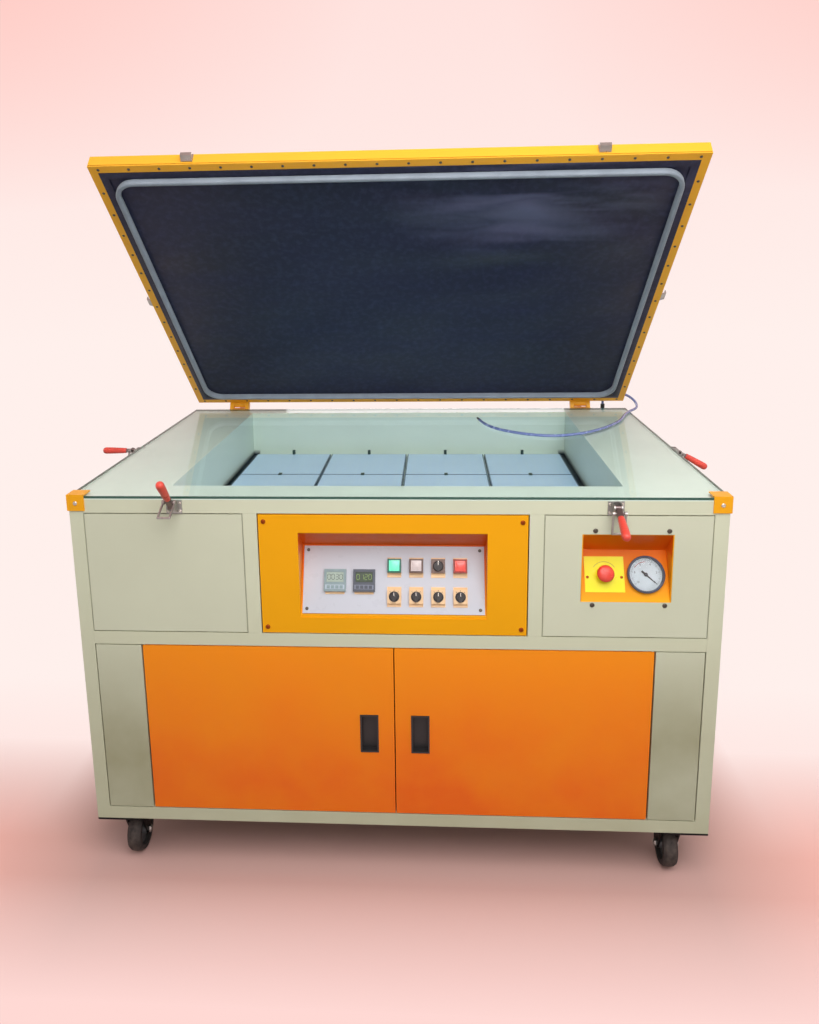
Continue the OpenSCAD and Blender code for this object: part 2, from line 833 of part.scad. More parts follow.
// The vacuum pump on the cupboard floor: base, saddle, motor, fan cover and finned head with mufflers.
module vacuum_pump() {
    cover_l = 16;
    cover_r = motor_r - 10;
    motor_x = -pump_l / 2 + 4;
    motor_z = pump_base_t + saddle_h - 4 + motor_r;
    saddle_l = motor_l - 56;
    head_x = motor_x + motor_l;
    head_l = pump_l / 2 - 6 - head_x;
    fin_t = 7;
    fin_d = 6;
    fin_pitch = (head_h - fin_t) / (head_fins - 1);
    color([0.3, 0.34, 0.36]) translate([pump_x, pump_y, floor_z + sheet]) {
        translate([-pump_l / 2, -pump_w / 2, 0]) cube([pump_l, pump_w, pump_base_t]);
        translate([motor_x + 36, -pump_w / 3, pump_base_t - eps]) cube([saddle_l, 2 * pump_w / 3, saddle_h]);
        translate([motor_x + cover_l, 0, motor_z]) rotate([0, 90, 0])
            cylinder(r = motor_r, h = motor_l - cover_l);
        translate([motor_x, 0, motor_z]) rotate([0, 90, 0])
            cylinder(r1 = cover_r, r2 = motor_r, h = cover_l + eps);
        translate([head_x - eps, -head_w / 2 + fin_d, pump_base_t - eps])
            cube([head_l - fin_d, head_w - 2 * fin_d, head_h]);
        for (i = [0:head_fins - 1]) translate([head_x - eps, -head_w / 2, pump_base_t - eps + i * fin_pitch])
            cube([head_l, head_w, fin_t]);
        for (y = [-head_w / 4, head_w / 4])
            translate([head_x + head_l / 2, y, pump_base_t + head_h - 2 * eps])
                cylinder(r = muffler_r, h = muffler_h);
    }
}

// Two power supplies for the LED boards, on the cupboard floor.
module driver_boxes() {
    foot_t = 3;
    foot_reach = 18;
    foot_inset = 20;
    slot_w = 10;
    slot_d = 8;
    slot_pitch = 22;
    slot_start = 30;
    slots = floor((driver_l - slot_start) / slot_pitch) - 1;
    color(steel) for (i = [0, 1])
        translate([driver_x, driver_y + i * (driver_w + driver_gap), floor_z + sheet]) {
            difference() {
                cube([driver_l, driver_w, driver_h]);
                for (slot = [0:slots - 1]) translate([slot_start + slot * slot_pitch, -1, driver_h - slot_d])
                    cube([slot_w, driver_w + 2, slot_d + 1]);
            }
            translate([-foot_reach, foot_inset, 0])
                cube([driver_l + 2 * foot_reach, driver_w - 2 * foot_inset, foot_t]);
        }
}

// Two hinge blocks on the rear beam, each a base, two ears and the pin between them.
module hinge_blocks() {
    color(orange) for (side = [-1, 1]) translate([side * hinge_x, hinge_y, glass_z]) {
        translate([-hinge_block_w / 2, -hinge_base_d, 0]) cube([hinge_block_w, hinge_base_d, hinge_base_t]);
        for (x = [-hinge_block_w / 2 + ear_t / 2, hinge_block_w / 2 - ear_t / 2]) translate([x, 0, 0])
            across(ear_t) hull() {
                translate([0, hinge_z - glass_z]) circle(ear_r, $fn = 32);
                translate([-ear_foot, 0]) square([ear_foot, 1]);
            }
        translate([-hinge_block_w / 2, 0, hinge_z - glass_z]) rotate([0, 90, 0])
            cylinder(r = hinge_pin_r, h = hinge_block_w);
    }
}

// Two gas spring cylinders on brackets at the back of the cabinet.
module strut_cylinders() {
    color(dark) for (side = [-1, 1]) translate([side * rod_x, rod_y, 0]) {
        difference() {
            translate([0, 0, cylinder_z]) cylinder(r = cylinder_r, h = cylinder_l);
            translate([0, 0, cylinder_z + 40]) cylinder(r = rod_r + pin_clearance, h = cylinder_l);
        }
        translate([-cylinder_r - 2, back_y - rod_y, cylinder_z - bracket_t])
            cube([2 * cylinder_r + 4, rod_y - back_y + cylinder_r, bracket_t + eps]);
        translate([-cylinder_r - 2, back_y - rod_y, mid_z]) cube([2 * cylinder_r + 4, bracket_t, tube]);
        translate([0, back_y - rod_y, 0]) across(bracket_t)
            polygon([[1, mid_z + 2], [rod_y - back_y, cylinder_z - bracket_t + eps], [1, cylinder_z - 1]]);
    }
}

// The sliding rods of the gas springs, each with a slotted eye for the lever's pin.
module strut_rods() {
    color(steel) for (side = [-1, 1]) translate([side * rod_x, rod_y, rod_end_z]) difference() {
        union() {
            translate([0, 0, cylinder_z + cylinder_l - rod_inside - rod_end_z])
                cylinder(r = rod_r, h = rod_end_z - cylinder_z - cylinder_l + rod_inside - tail_pin_r - 1);
            translate([-rod_end_w / 2, -tail_pin_r - slot_play - 4, -rod_end_h / 2])
                cube([rod_end_w, 2 * (tail_pin_r + slot_play + 4), rod_end_h]);
        }
        translate([-rod_end_w, -tail_pin_r - slot_play, -tail_pin_r - 0.4])
            cube([2 * rod_end_w, 2 * (tail_pin_r + slot_play), 2 * (tail_pin_r + 0.4)]);
    }
}

// Turns the lid's pieces, drawn shut, to the angle at which the lid stands open.
module opened() {
    translate([0, hinge_y, hinge_z]) rotate([-lid_open, 0, 0]) translate([0, -hinge_y, -hinge_z]) children();
}

// A flat ring round the lid, from one inset to another, between two heights above its underside.
module lid_ring(inset, width, low, high) {
    translate([0, (lid_rear_y + lid_front_y) / 2, lid_z + low]) linear_extrude(high - low) difference() {
        square([lid_w - 2 * inset, lid_l - 2 * inset], center = true);
        square([lid_w - 2 * (inset + width), lid_l - 2 * (inset + width)], center = true);
    }
}

// The lid's folded frame with hinge knuckles and the levers that the gas springs pull.
module lid_frame() {
    color(orange) opened() {
        difference() {
            lid_ring(0, lid_rail, strip_t + blanket_t, lid_t);
            lid_ring(lid_wall, lid_rail - 2 * lid_wall, strip_t, lid_t - lid_wall);
        }
        for (side = [-1, 1]) translate([side * hinge_x, hinge_y, hinge_z]) difference() {
            union() {
                across(knuckle_w) {
                    circle(knuckle_r);
                    polygon([
                        [-hinge_back - eps, lid_z - hinge_z + strip_t + blanket_t],
                        [-hinge_back - eps, lid_z - hinge_z + lid_t - 3],
                        [-hinge_back + 6, lid_z - hinge_z + lid_t - 3],
                        [knuckle_r * cos(25), knuckle_r * sin(25)],
                        [-knuckle_r * cos(25), -knuckle_r * sin(25)]
                    ]);
                }
                rotate([tail_half, 0, 0]) across(tail_t) {
                    translate([0, -tail_h / 2]) square([tail_l, tail_h]);
                    translate([tail_l, 0]) circle(tail_end_r);
                }
                rotate([tail_half, 0, 0]) translate([0, tail_l, 0]) rotate([0, side * 90, 0])
                    cylinder(r = tail_pin_r, h = tail_side + rod_end_w + 2);
            }
            translate([-knuckle_w, 0, 0]) rotate([0, 90, 0])
                cylinder(r = hinge_pin_r + pin_clearance, h = 2 * knuckle_w);
        }
    }
}

// The rubber blanket, held between the frame and the strips.
module rubber_blanket() {
    color(dark) opened() translate([0, (lid_rear_y + lid_front_y) / 2, lid_z + strip_t + blanket_t / 2])
        cube([lid_w - 2 * blanket_inset, lid_l - 2 * blanket_inset, blanket_t], center = true);
}

// The strips that clamp the blanket to the frame.
module blanket_strips() {
    color(orange) opened() lid_ring(0, strip_w, 0, strip_t);
}

// The soft seal that meets the glass, with round corners.
module lid_gasket() {
    color([0.62, 0.66, 0.66]) opened()
        translate([0, (lid_rear_y + lid_front_y) / 2, lid_z + strip_t - gasket_h]) linear_extrude(gasket_h)
            difference() {
                round_rect(lid_w - 2 * gasket_inset, lid_l - 2 * gasket_inset, gasket_r);
                round_rect(lid_w - 2 * (gasket_inset + gasket_w), lid_l - 2 * (gasket_inset + gasket_w),
                    gasket_r - gasket_w);
            }
}

// The profile of a keeper, as [outwards, height above the lid's underside].
module keeper() {
    wall = 2.5;
    foot = 8;
    shelf = 12;
    rise = 3;
    lip = 22;
    across(keeper_w) polygon([
        [0, foot],
        [0, lid_t - 2],
        [wall, lid_t - 2],
        [wall, shelf],
        [keeper_reach - wall, shelf + rise],
        [keeper_reach - wall, lip],
        [keeper_reach, lip],
        [keeper_reach, shelf + 0.5],
        [wall + 0.5, foot]
    ]);
}

// Keepers on the lid's front and sides, over the clamps.
module lid_keepers() {
    color(steel) opened() translate([0, 0, lid_z]) {
        for (x = [-clamp_x, clamp_x]) translate([x, lid_front_y, 0]) rotate([0, 0, 180]) keeper();
        translate([-lid_w / 2, clamp_y, 0]) rotate([0, 0, 90]) keeper();
        translate([lid_w / 2, clamp_y, 0]) rotate([0, 0, -90]) keeper();
    }
}

// Places a clamp's child: X along the beam, Y outwards from it, Z up.
module at_front_clamp(side) {
    translate([side * clamp_x, front_y, clamp_z]) rotate([0, 0, 180]) children();
}

module at_side_clamp(side) {
    translate([side * side_x, clamp_y, clamp_z]) rotate([0, 0, -side * 90]) children();
}

// One clamp base: a plate, two ears and the pivot pin.
module clamp_base() {
    translate([-clamp_base_w / 2, 0, -tube / 2]) cube([clamp_base_w, clamp_sheet, tube]);
    for (side = [-1, 1]) translate([side * (ear_gap + clamp_sheet) / 2, 0, 0]) across(clamp_sheet) {
        polygon([
            [clamp_sheet - eps, -tube / 2 + 3],
            [clamp_reach + 4, clamp_rise - 5],
            [clamp_reach, clamp_rise + 7],
            [clamp_sheet - eps, tube / 2 - 1]
        ]);
        translate([clamp_reach, clamp_rise]) circle(7);
    }
    translate([-ear_gap / 2 - clamp_sheet, clamp_reach, clamp_rise]) rotate([0, 90, 0])
        cylinder(r = hook_r, h = ear_gap + 2 * clamp_sheet);
}

module clamp_bases() {
    color(steel) for (side = [-1, 1]) {
        at_front_clamp(side) clamp_base();
        at_side_clamp(side) clamp_base();
    }
}

// A clamp's handle at angle above the horizontal: a strap with the hook's pin, and a tapered grip.
module clamp_handle(angle) {
    eye_r = 6;
    strap_h = 8;
    grip_start = 32;
    grip_l = handle_l - grip_r - grip_start;
    color([0.8, 0.15, 0.1]) translate([0, clamp_reach, clamp_rise]) rotate([angle, 0, 0]) difference() {
        union() {
            across(strap_w) {
                circle(eye_r);
                translate([0, -strap_h / 2]) square([grip_start + 4, strap_h]);
            }
            translate([-hook_side - hook_r - 0.5, hook_pin, 0]) rotate([0, 90, 0])
                cylinder(r = hook_r, h = 2 * (hook_side + hook_r + 0.5));
            translate([0, grip_start, 0]) rotate([-90, 0, 0])
                cylinder(r1 = grip_r - 2, r2 = grip_r, h = grip_l);
            translate([0, handle_l - grip_r, 0]) sphere(grip_r);
        }
        translate([-strap_w, 0, 0]) rotate([0, 90, 0]) cylinder(r = hook_r + pin_clearance, h = 2 * strap_w);
    }
}

module clamp_handle_front_left() {
    at_front_clamp(-1) clamp_handle(front_left_angle);
}

module clamp_handle_front_right() {
    at_front_clamp(1) clamp_handle(front_right_angle);
}

module clamp_handle_side_left() {
    at_side_clamp(-1) clamp_handle(side_left_angle);
}

module clamp_handle_side_right() {
    at_side_clamp(1) clamp_handle(side_right_angle);
}

// A clamp's wire hook, which hangs from the handle's pin by two eyes.
module clamp_hook(angle) {
    color(steel) translate([0, clamp_reach, clamp_rise]) rotate([angle, 0, 0]) translate([0, hook_pin, 0])
        rotate([hook_hang, 0, 0]) difference() {
            union() {
                for (side = [-1, 1]) translate([side * hook_side, 0, 0]) {
                    translate([-hook_r, 0, 0]) rotate([0, 90, 0]) cylinder(r = 2 * hook_r, h = 2 * hook_r);
                    rotate([-90, 0, 0]) cylinder(r = hook_r, h = hook_l);
                    translate([0, hook_l, 0]) sphere(hook_r);
                }
                translate([-hook_side, hook_l, 0]) rotate([0, 90, 0]) cylinder(r = hook_r, h = 2 * hook_side);
            }
            translate([-2 * hook_side, 0, 0]) rotate([0, 90, 0])
                cylinder(r = hook_r + pin_clearance, h = 4 * hook_side);
        }
}

module clamp_hook_front_left() {
    at_front_clamp(-1) clamp_hook(front_left_angle);
}

module clamp_hook_front_right() {
    at_front_clamp(1) clamp_hook(front_right_angle);
}

module clamp_hook_side_left() {
    at_side_clamp(-1) clamp_hook(side_left_angle);
}

module clamp_hook_side_right() {
    at_side_clamp(1) clamp_hook(side_right_angle);
}

// A door in its place: a folded tray with pivot blocks in its outer corners and a hole for the pull.
module door(side) {
    block = pivot_block + 4;
    block_x = side < 0 ? -door_edge_x + panel_gap / 2 : door_edge_x - panel_gap / 2 - block;
    cut_w = pull_w - 2 * pull_rim;
    cut_h = pull_h - 2 * pull_rim;
    color(orange) difference() {
        union() {
            translate([side < 0 ? -door_edge_x + panel_gap / 2 : panel_gap / 2, front_y, door_z]) {
                difference() {
                    cube([door_w - panel_gap / 2, door_t, door_h]);
                    translate([sheet, sheet, sheet])
                        cube([door_w - panel_gap / 2 - 2 * sheet, door_t, door_h - 2 * sheet]);
                }
            }
            for (z = [door_z, door_z + door_h - door_pin_l - 2])
                translate([block_x, front_y, z]) cube([block, block, door_pin_l + 2]);
        }
        for (z = [low_row_z - 1, mid_z - door_pin_l - seat_gap])
            translate([side * door_pivot_x, door_pivot_y, z])
                cylinder(r = door_pin_r + pin_clearance, h = door_pin_l + 1 + seat_gap);
        translate([side * pull_x - cut_w / 2, front_y - 1, floor_z + pull_z - cut_h / 2])
            cube([cut_w, sheet + 2, cut_h]);
    }
}

module door_left() {
    door(-1);
}

module door_right() {
    door(1);
}

// A black cup let into a door, with a rim on the door's face.
module door_pull(side) {
    cup_w = pull_w - 2 * pull_rim - 2 * seat_gap;
    cup_h = pull_h - 2 * pull_rim - 2 * seat_gap;
    color(black) translate([side * pull_x, front_y, floor_z + pull_z]) difference() {
        union() {
            translate([-pull_w / 2, -pull_wall, -pull_h / 2]) cube([pull_w, pull_wall, pull_h]);
            translate([-cup_w / 2, -pull_wall, -cup_h / 2]) cube([cup_w, pull_wall + pull_depth, cup_h]);
        }
        translate([-cup_w / 2 + pull_wall, -pull_wall - 1, -cup_h / 2 + pull_wall])
            cube([cup_w - 2 * pull_wall, pull_depth + 1, cup_h - 2 * pull_wall]);
    }
}

module door_pull_left() {
    door_pull(-1);
}

module door_pull_right() {
    door_pull(1);
}

// Places a caster's child at its swivel axis, at ground height.
module at_caster(side, end) {
    translate([side * caster_x, end * caster_y, 0]) children();
}

// Plates under the frame's corners with the pins that the forks swivel on.
module caster_plates() {
    color(dark) for (side = [-1, 1], end = [-1, 1]) at_caster(side, end) {
        plate_x = side * (side_x - caster_x - caster_plate_w / 2);
        plate_y = end * (caster_inset - caster_plate_d / 2);
        translate([plate_x - caster_plate_w / 2, plate_y - caster_plate_d / 2, floor_z - caster_plate_t])
            cube([caster_plate_w, caster_plate_d, caster_plate_t]);
        translate([0, 0, floor_z - caster_plate_t - crown_t - seat_gap])
            cylinder(r = swivel_r, h = crown_t + seat_gap + eps);
    }
}

// A fork: a crown bored for the swivel pin, two cheeks that sweep back to the axle, and the axle.
module caster_fork(side, end) {
    crown_z = floor_z - caster_plate_t - seat_gap - crown_t;
    cheek_x = wheel_w / 2 + fork_gap;
    cheek_front = -14;
    cheek_rear = caster_trail + 5;
    boss_r = 11;
    bridge_t = 4;
    bridge_d = caster_trail + 9;
    color(black) at_caster(side, end) {
        difference() {
            union() {
                translate([0, 0, crown_z]) cylinder(r = cheek_x + fork_sheet, h = crown_t);
                translate([-cheek_x - fork_sheet, -bridge_t, crown_z])
                    cube([2 * (cheek_x + fork_sheet), bridge_d, bridge_t]);
            }
            translate([0, 0, crown_z - 1]) cylinder(r = swivel_r + pin_clearance, h = crown_t + 2);
        }
        for (side = [-1, 1]) translate([side * (cheek_x + fork_sheet / 2), 0, 0]) across(fork_sheet) {
            polygon([
                [cheek_front, crown_z],
                [cheek_front, crown_z + bridge_t],
                [cheek_rear, crown_z + bridge_t],
                [caster_trail + boss_r, wheel_r],
                [caster_trail - boss_r, wheel_r]
            ]);
            translate([caster_trail, wheel_r]) circle(boss_r);
        }
        translate([-cheek_x - fork_sheet - 3, caster_trail, wheel_r]) rotate([0, 90, 0])
            cylinder(r = axle_r, h = 2 * (cheek_x + fork_sheet + 3));
    }
}

module caster_fork_front_left() {
    caster_fork(-1, -1);
}

module caster_fork_front_right() {
    caster_fork(1, -1);
}

module caster_fork_rear_left() {
    caster_fork(-1, 1);
}

module caster_fork_rear_right() {
    caster_fork(1, 1);
}

// A wheel with a rounded tread, a dished web and a hub bored for the axle.
module caster_wheel(side, end) {
    half = wheel_w / 2;
    color(dark) at_caster(side, end) translate([0, caster_trail, wheel_r]) rotate([0, 90, 0])
        rotate_extrude($fn = 96) polygon([
            [axle_r + pin_clearance, -half - 1],
            [axle_r + 6, -half - 1],
            [axle_r + 8, -6],
            [wheel_r - 16, -6],
            [wheel_r - 14, -half],
            [wheel_r - 5, -half],
            [wheel_r - 1, -half + 6],
            [wheel_r, 0],
            [wheel_r - 1, half - 6],
            [wheel_r - 5, half],
            [wheel_r - 14, half],
            [wheel_r - 16, 6],
            [axle_r + 8, 6],
            [axle_r + 6, half + 1],
            [axle_r + pin_clearance, half + 1]
        ]);
}

module wheel_front_left() {
    caster_wheel(-1, -1);
}

module wheel_front_right() {
    caster_wheel(1, -1);
}

module wheel_rear_left() {
    caster_wheel(-1, 1);
}

module wheel_rear_right() {
    caster_wheel(1, 1);
}

// Points on a smooth curve through the hose's route, and the rings of its tube.
function smooth_point(a, b, c, d, t) =
    0.5 * (2 * b + (c - a) * t + (2 * a - 5 * b + 4 * c - d) * t * t + (3 * b - a - 3 * c + d) * t * t * t);
function route(points, steps) = let (last = len(points) - 1) concat(
    [for (i = [0:last - 1], s = [0:steps - 1])
        smooth_point(points[max(i - 1, 0)], points[i], points[i + 1], points[min(i + 2, last)], s / steps)],
    [points[last]]
);
function unit(v) = v / norm(v);
function heading(path, i) = unit(path[min(i + 1, len(path) - 1)] - path[max(i - 1, 0)]);
function next_up(up, ahead) = unit(up - (up * ahead) * ahead);
function frames(path, i = 0, up = [0, 1, 0]) = i == len(path) ? [] :
    let (ahead = heading(path, i), now = next_up(up, ahead)) concat([[ahead, now]], frames(path, i + 1, now));
function ring(centre, frame, r, sides) = [for (k = [0:sides - 1]) let (a = 360 * k / sides)
    centre + r * (cos(a) * frame[1] + sin(a) * cross(frame[0], frame[1]))];

// A tube of radius r along a path.
module swept_tube(path, r, sides) {
    turned = frames(path);
    points = [for (i = [0:len(path) - 1]) each ring(path[i], turned[i], r, sides)];
    last = (len(path) - 1) * sides;
    walls = [for (i = [0:len(path) - 2], k = [0:sides - 1]) let (n = (k + 1) % sides)
        [i * sides + k, (i + 1) * sides + k, (i + 1) * sides + n, i * sides + n]];
    start = [for (k = [0:sides - 1]) k];
    end = [for (k = [sides - 1:-1:0]) last + k];
    polyhedron(points, concat([start], walls, [end]));
}

// The blue vacuum hose, from the elbow to its dark tip on the glass.
module vacuum_hose() {
    color([0.25, 0.45, 0.85]) swept_tube(route(hose_points, hose_steps), hose_r, hose_sides);
}

// The hose's two fittings: the elbow at the back that it leaves, and the tip on its free end.
module hose_fitting() {
    flange_r = 11;
    flange_t = 5;
    path = route(hose_points, hose_steps);
    ahead = heading(path, len(path) - 1);
    color(black) {
        translate([side_x - hose_inset, back_y, deck_z - hose_drop]) {
            rotate([-90, 0, 0]) cylinder(r = flange_r, h = flange_t);
            rotate([-90, 0, 0]) cylinder(r = hose_stub_r, h = hose_stub_l);
            translate([0, hose_stub_l, 0]) sphere(hose_stub_r);
            translate([0, hose_stub_l, 0]) cylinder(r = hose_stub_r, h = hose_stub_h);
        }
        translate(path[len(path) - 1]) rotate([0, 90, atan2(ahead[1], ahead[0])]) {
            cylinder(r = hose_r, h = ferrule_l);
            translate([0, 0, ferrule_l - eps]) cylinder(r = nipple_r, h = nipple_l + eps);
        }
    }
}

cabinet_frame();
front_panels();
side_panels();
rear_panel();
floor_panel();
light_box();
led_boards();
glass_top();
corner_guards();
control_box();
control_plate();
timers();
switch_bezels();
gauge_box();
gauge_case();
estop_base();
vacuum_pump();
driver_boxes();
hinge_blocks();
strut_cylinders();
clamp_bases();
caster_plates();
hose_fitting();
vacuum_hose();
lid_frame();
rubber_blanket();
blanket_strips();
lid_gasket();
lid_keepers();
strut_rods();
door_left();
door_right();
door_pull_left();
door_pull_right();
button_green();
button_white();
button_red();
selector_upper();
selector_lower_1();
selector_lower_2();
selector_lower_3();
selector_lower_4();
estop_button();
gauge_pointer();
clamp_handle_front_left();
clamp_handle_front_right();
clamp_handle_side_left();
clamp_handle_side_right();
clamp_hook_front_left();
clamp_hook_front_right();
clamp_hook_side_left();
clamp_hook_side_right();
caster_fork_front_left();
caster_fork_front_right();
caster_fork_rear_left();
caster_fork_rear_right();
wheel_front_left();
wheel_front_right();
wheel_rear_left();
wheel_rear_right();
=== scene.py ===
"""Screen printing exposure unit: finishes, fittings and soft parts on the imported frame."""

import logging
import math
from collections.abc import Callable, Sequence
from dataclasses import dataclass
from enum import Enum
from functools import reduce

import bmesh
import bpy
from mathutils import Matrix, Vector


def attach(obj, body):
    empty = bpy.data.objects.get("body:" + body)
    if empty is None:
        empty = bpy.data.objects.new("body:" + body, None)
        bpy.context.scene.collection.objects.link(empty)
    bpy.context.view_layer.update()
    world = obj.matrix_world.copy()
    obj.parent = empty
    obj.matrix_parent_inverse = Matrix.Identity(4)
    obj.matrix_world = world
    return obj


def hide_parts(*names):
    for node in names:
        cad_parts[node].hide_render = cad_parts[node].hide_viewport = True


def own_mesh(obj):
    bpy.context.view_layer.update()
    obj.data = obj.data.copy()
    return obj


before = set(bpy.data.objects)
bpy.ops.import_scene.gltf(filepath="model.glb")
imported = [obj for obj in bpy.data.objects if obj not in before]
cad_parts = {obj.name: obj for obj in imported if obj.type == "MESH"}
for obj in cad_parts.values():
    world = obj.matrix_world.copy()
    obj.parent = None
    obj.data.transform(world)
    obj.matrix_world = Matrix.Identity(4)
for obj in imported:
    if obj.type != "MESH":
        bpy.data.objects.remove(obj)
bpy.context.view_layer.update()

LOG = logging.getLogger("exposure_unit")

Colour = tuple[float, float, float]
Point = tuple[float, float, float]
Profile = Sequence[tuple[float, float]]
Piece = bpy.types.Object
Socket = bpy.types.NodeSocket

ORIGIN: Point = (0.0, 0.0, 0.0)
UP: Point = (0.0, 0.0, 1.0)
# The least part of a face's normal along the axis that it looks along.
LOOKS: float = 0.9
# The side of the plane that becomes a profile's first point, and the distance under which points merge.
SPECK: float = 0.0001
MERGE: float = 0.00002
# The angle under which edges are shaded smooth, in degrees.
SMOOTH_UNDER: float = 40.0
HINGE_LINE: Point = (0.0, 0.502, 0.920)
LID_OPEN: float = math.radians(42.3)
LID_BOTTOM: float = 0.922
FRONT: float = -0.5
REAR: float = 0.5
WALL: float = 0.7


def paint(red: float, green: float, blue: float) -> Colour:
    """Turns a colour of 0 to 255 into the scene's linear light.

    Args:
        red: Red, 0 to 255.
        green: Green, 0 to 255.
        blue: Blue, 0 to 255.

    Returns:
        The linear colour.
    """
    shares = [level / 255 for level in (red, green, blue)]
    linear = [share / 12.92 if share < 0.04 else ((share + 0.055) / 1.055) ** 2.4 for share in shares]
    return (linear[0], linear[1], linear[2])


def deeper(colour: Colour, share: float) -> Colour:
    """Returns the colour at a share of its brightness."""
    return (colour[0] * share, colour[1] * share, colour[2] * share)


class Graph:
    """A node tree, written as short calls that each give a socket."""

    def __init__(self, tree: bpy.types.NodeTree, coordinates: str) -> None:
        """Takes over a node tree.

        Args:
            tree: The node tree.
            coordinates: The texture coordinates that its nodes go by.
        """
        self.nodes = tree.nodes
        self.links = tree.links
        self.place = self.add("TexCoord", out=coordinates)

    def join(self, value: object, socket: Socket) -> None:
        """Links a socket to another, or sets its value.

        Args:
            value: A socket, a number or a colour.
            socket: The input that takes it.
        """
        if isinstance(value, bpy.types.NodeSocket):
            self.links.new(value, socket)
            return
        if isinstance(value, tuple) and len(value) == 3 and len(socket.default_value) == 4:
            value = (*value, 1.0)
        socket.default_value = value

    def add(self, kind: str, *values: object, out: int | str = 0, **named: object) -> Socket:
        """Adds a node.

        Args:
            kind: The node's kind, without ShaderNode.
            values: What its first inputs take, in order.
            out: The output that is wanted.
            named: Other inputs, with a capital, and the node's own settings, without one.

        Returns:
            That output.
        """
        node = self.nodes.new(f"ShaderNode{kind}")
        for name, value in named.items():
            if name[0].isupper():
                self.join(value, node.inputs[name])
            else:
                setattr(node, name, value)
        for socket, value in zip(node.inputs, values):
            self.join(value, socket)
        return node.outputs[out]

    def calc(self, kind: str, first: object, second: object = 0.0) -> Socket:
        """Adds a Math node of a kind, such as SUBTRACT."""
        return self.add("Math", first, second, operation=kind)

    def times(self, first: object, second: object) -> Socket:
        """Multiplies two values."""
        return self.calc("MULTIPLY", first, second)

    def most(self, *values: object) -> Socket:
        """Gives the greatest of some values."""
        return reduce(lambda first, second: self.calc("MAXIMUM", first, second), values)

    def length(self, *sides: Socket) -> Socket:
        """Gives the length of a line with these sides."""
        squares = [self.calc("POWER", side, 2.0) for side in sides]
        return self.calc("SQRT", reduce(lambda first, second: self.calc("ADD", first, second), squares))

    def axes(self, source: Socket | None = None) -> tuple[Socket, Socket, Socket]:
        """Splits a vector, or the object's own place, into X, Y and Z.

        Args:
            source: The vector, or else the object's own place.

        Returns:
            The three parts.
        """
        node = self.nodes.new("ShaderNodeSeparateXYZ")
        self.links.new(source or self.place, node.inputs[0])
        return (node.outputs[0], node.outputs[1], node.outputs[2])

    def shifted(self, centre: Point, turned: Point = ORIGIN, scale: Point = (1.0, 1.0, 1.0)) -> Socket:
        """Gives the object's place in a frame of its own.

        Args:
            centre: The frame's centre.
            turned: The frame's turn about X, Y and Z, in radians.
            scale: Each axis' scale.

        Returns:
            The vector in that frame.
        """
        moved = self.add("VectorMath", self.place, centre, operation="SUBTRACT")
        return self.add("Mapping", moved, Rotation=turned, Scale=scale)

    def noise(self, scale: float, detail: float = 4.0, place: Socket | None = None) -> Socket:
        """Adds noise of a scale per metre and gives its strength."""
        return self.add("TexNoise", place or self.place, out="Fac", Scale=scale, Detail=detail)

    def cells(self, scale: float) -> Socket:
        """Adds cells of a scale per metre and gives the distance to their centres."""
        return self.add("TexVoronoi", self.place, out="Distance", Scale=scale)

    def span(self, source: Socket, low: float, high: float, start: float = 0.0, end: float = 1.0) -> Socket:
        """Maps low to high onto start to end, held at both ends."""
        return self.add("MapRange", source, low, high, start, end)

    def mix(self, share: object, first: object, second: object) -> Socket:
        """Mixes two colours by a share from 0 to 1.

        Args:
            share: The share of the second colour, 0 to 1.
            first: The first colour.
            second: The second colour.

        Returns:
            The mixed colour.
        """
        node = self.nodes.new("ShaderNodeMix")
        node.data_type = "RGBA"
        for index, value in ((0, share), (6, first), (7, second)):
            self.join(value, node.inputs[index])
        return node.outputs[2]

    def cloud(
        self,
        source: Socket,
        colour: Colour,
        first: float,
        second: float,
        low: float = 0.3,
        high: float = 0.7,
    ) -> Socket:
        """Varies a colour's brightness by a noise.

        Args:
            source: The noise.
            colour: The colour.
            first: Its share of brightness where the noise is low.
            second: Its share where the noise is high.
            low: The noise that counts as low.
            high: The noise that counts as high.

        Returns:
            The varied colour.
        """
        return self.mix(self.span(source, low, high), deeper(colour, first), deeper(colour, second))

    def outer_gloss(self, index: float) -> Socket:
        """Gives a clear pane's share of gloss, which only its outer side has."""
        inner = self.add("NewGeometry", out="Backfacing")
        return self.times(self.add("Fresnel", index), self.calc("SUBTRACT", 1.0, inner))

    def seen(self) -> Socket:
        """Tells the rays of the camera and of mirrors from those that carry light."""
        rays = self.nodes.new("ShaderNodeLightPath").outputs
        return self.most(rays["Is Camera Ray"], rays["Is Glossy Ray"])


class Tree(Graph):
    """A material's node tree."""

    def __init__(self, name: str) -> None:
        """Starts a material of a name.

        Args:
            name: The material's name.
        """
        self.material = bpy.data.materials.new(name)
        self.material.use_nodes = True
        super().__init__(self.material.node_tree, "Object")
        self.shader = self.nodes["Principled BSDF"]

    def set(self, **values: object) -> None:
        """Sets or links the shader's inputs, named with underscores."""
        for name, value in values.items():
            self.join(value, self.shader.inputs[name.replace("_", " ")])

    def show(self, surface: Socket) -> None:
        """Makes another shader the material's surface."""
        self.join(surface, self.nodes["Material Output"].inputs["Surface"])

    def bump(self, height: Socket, distance: float, strength: float = 1.0) -> None:
        """Gives the shader a relief of a height in metres."""
        self.set(Normal=self.add("Bump", Strength=strength, Distance=distance, Height=height))


MADE: dict[str, bpy.types.Material] = {}


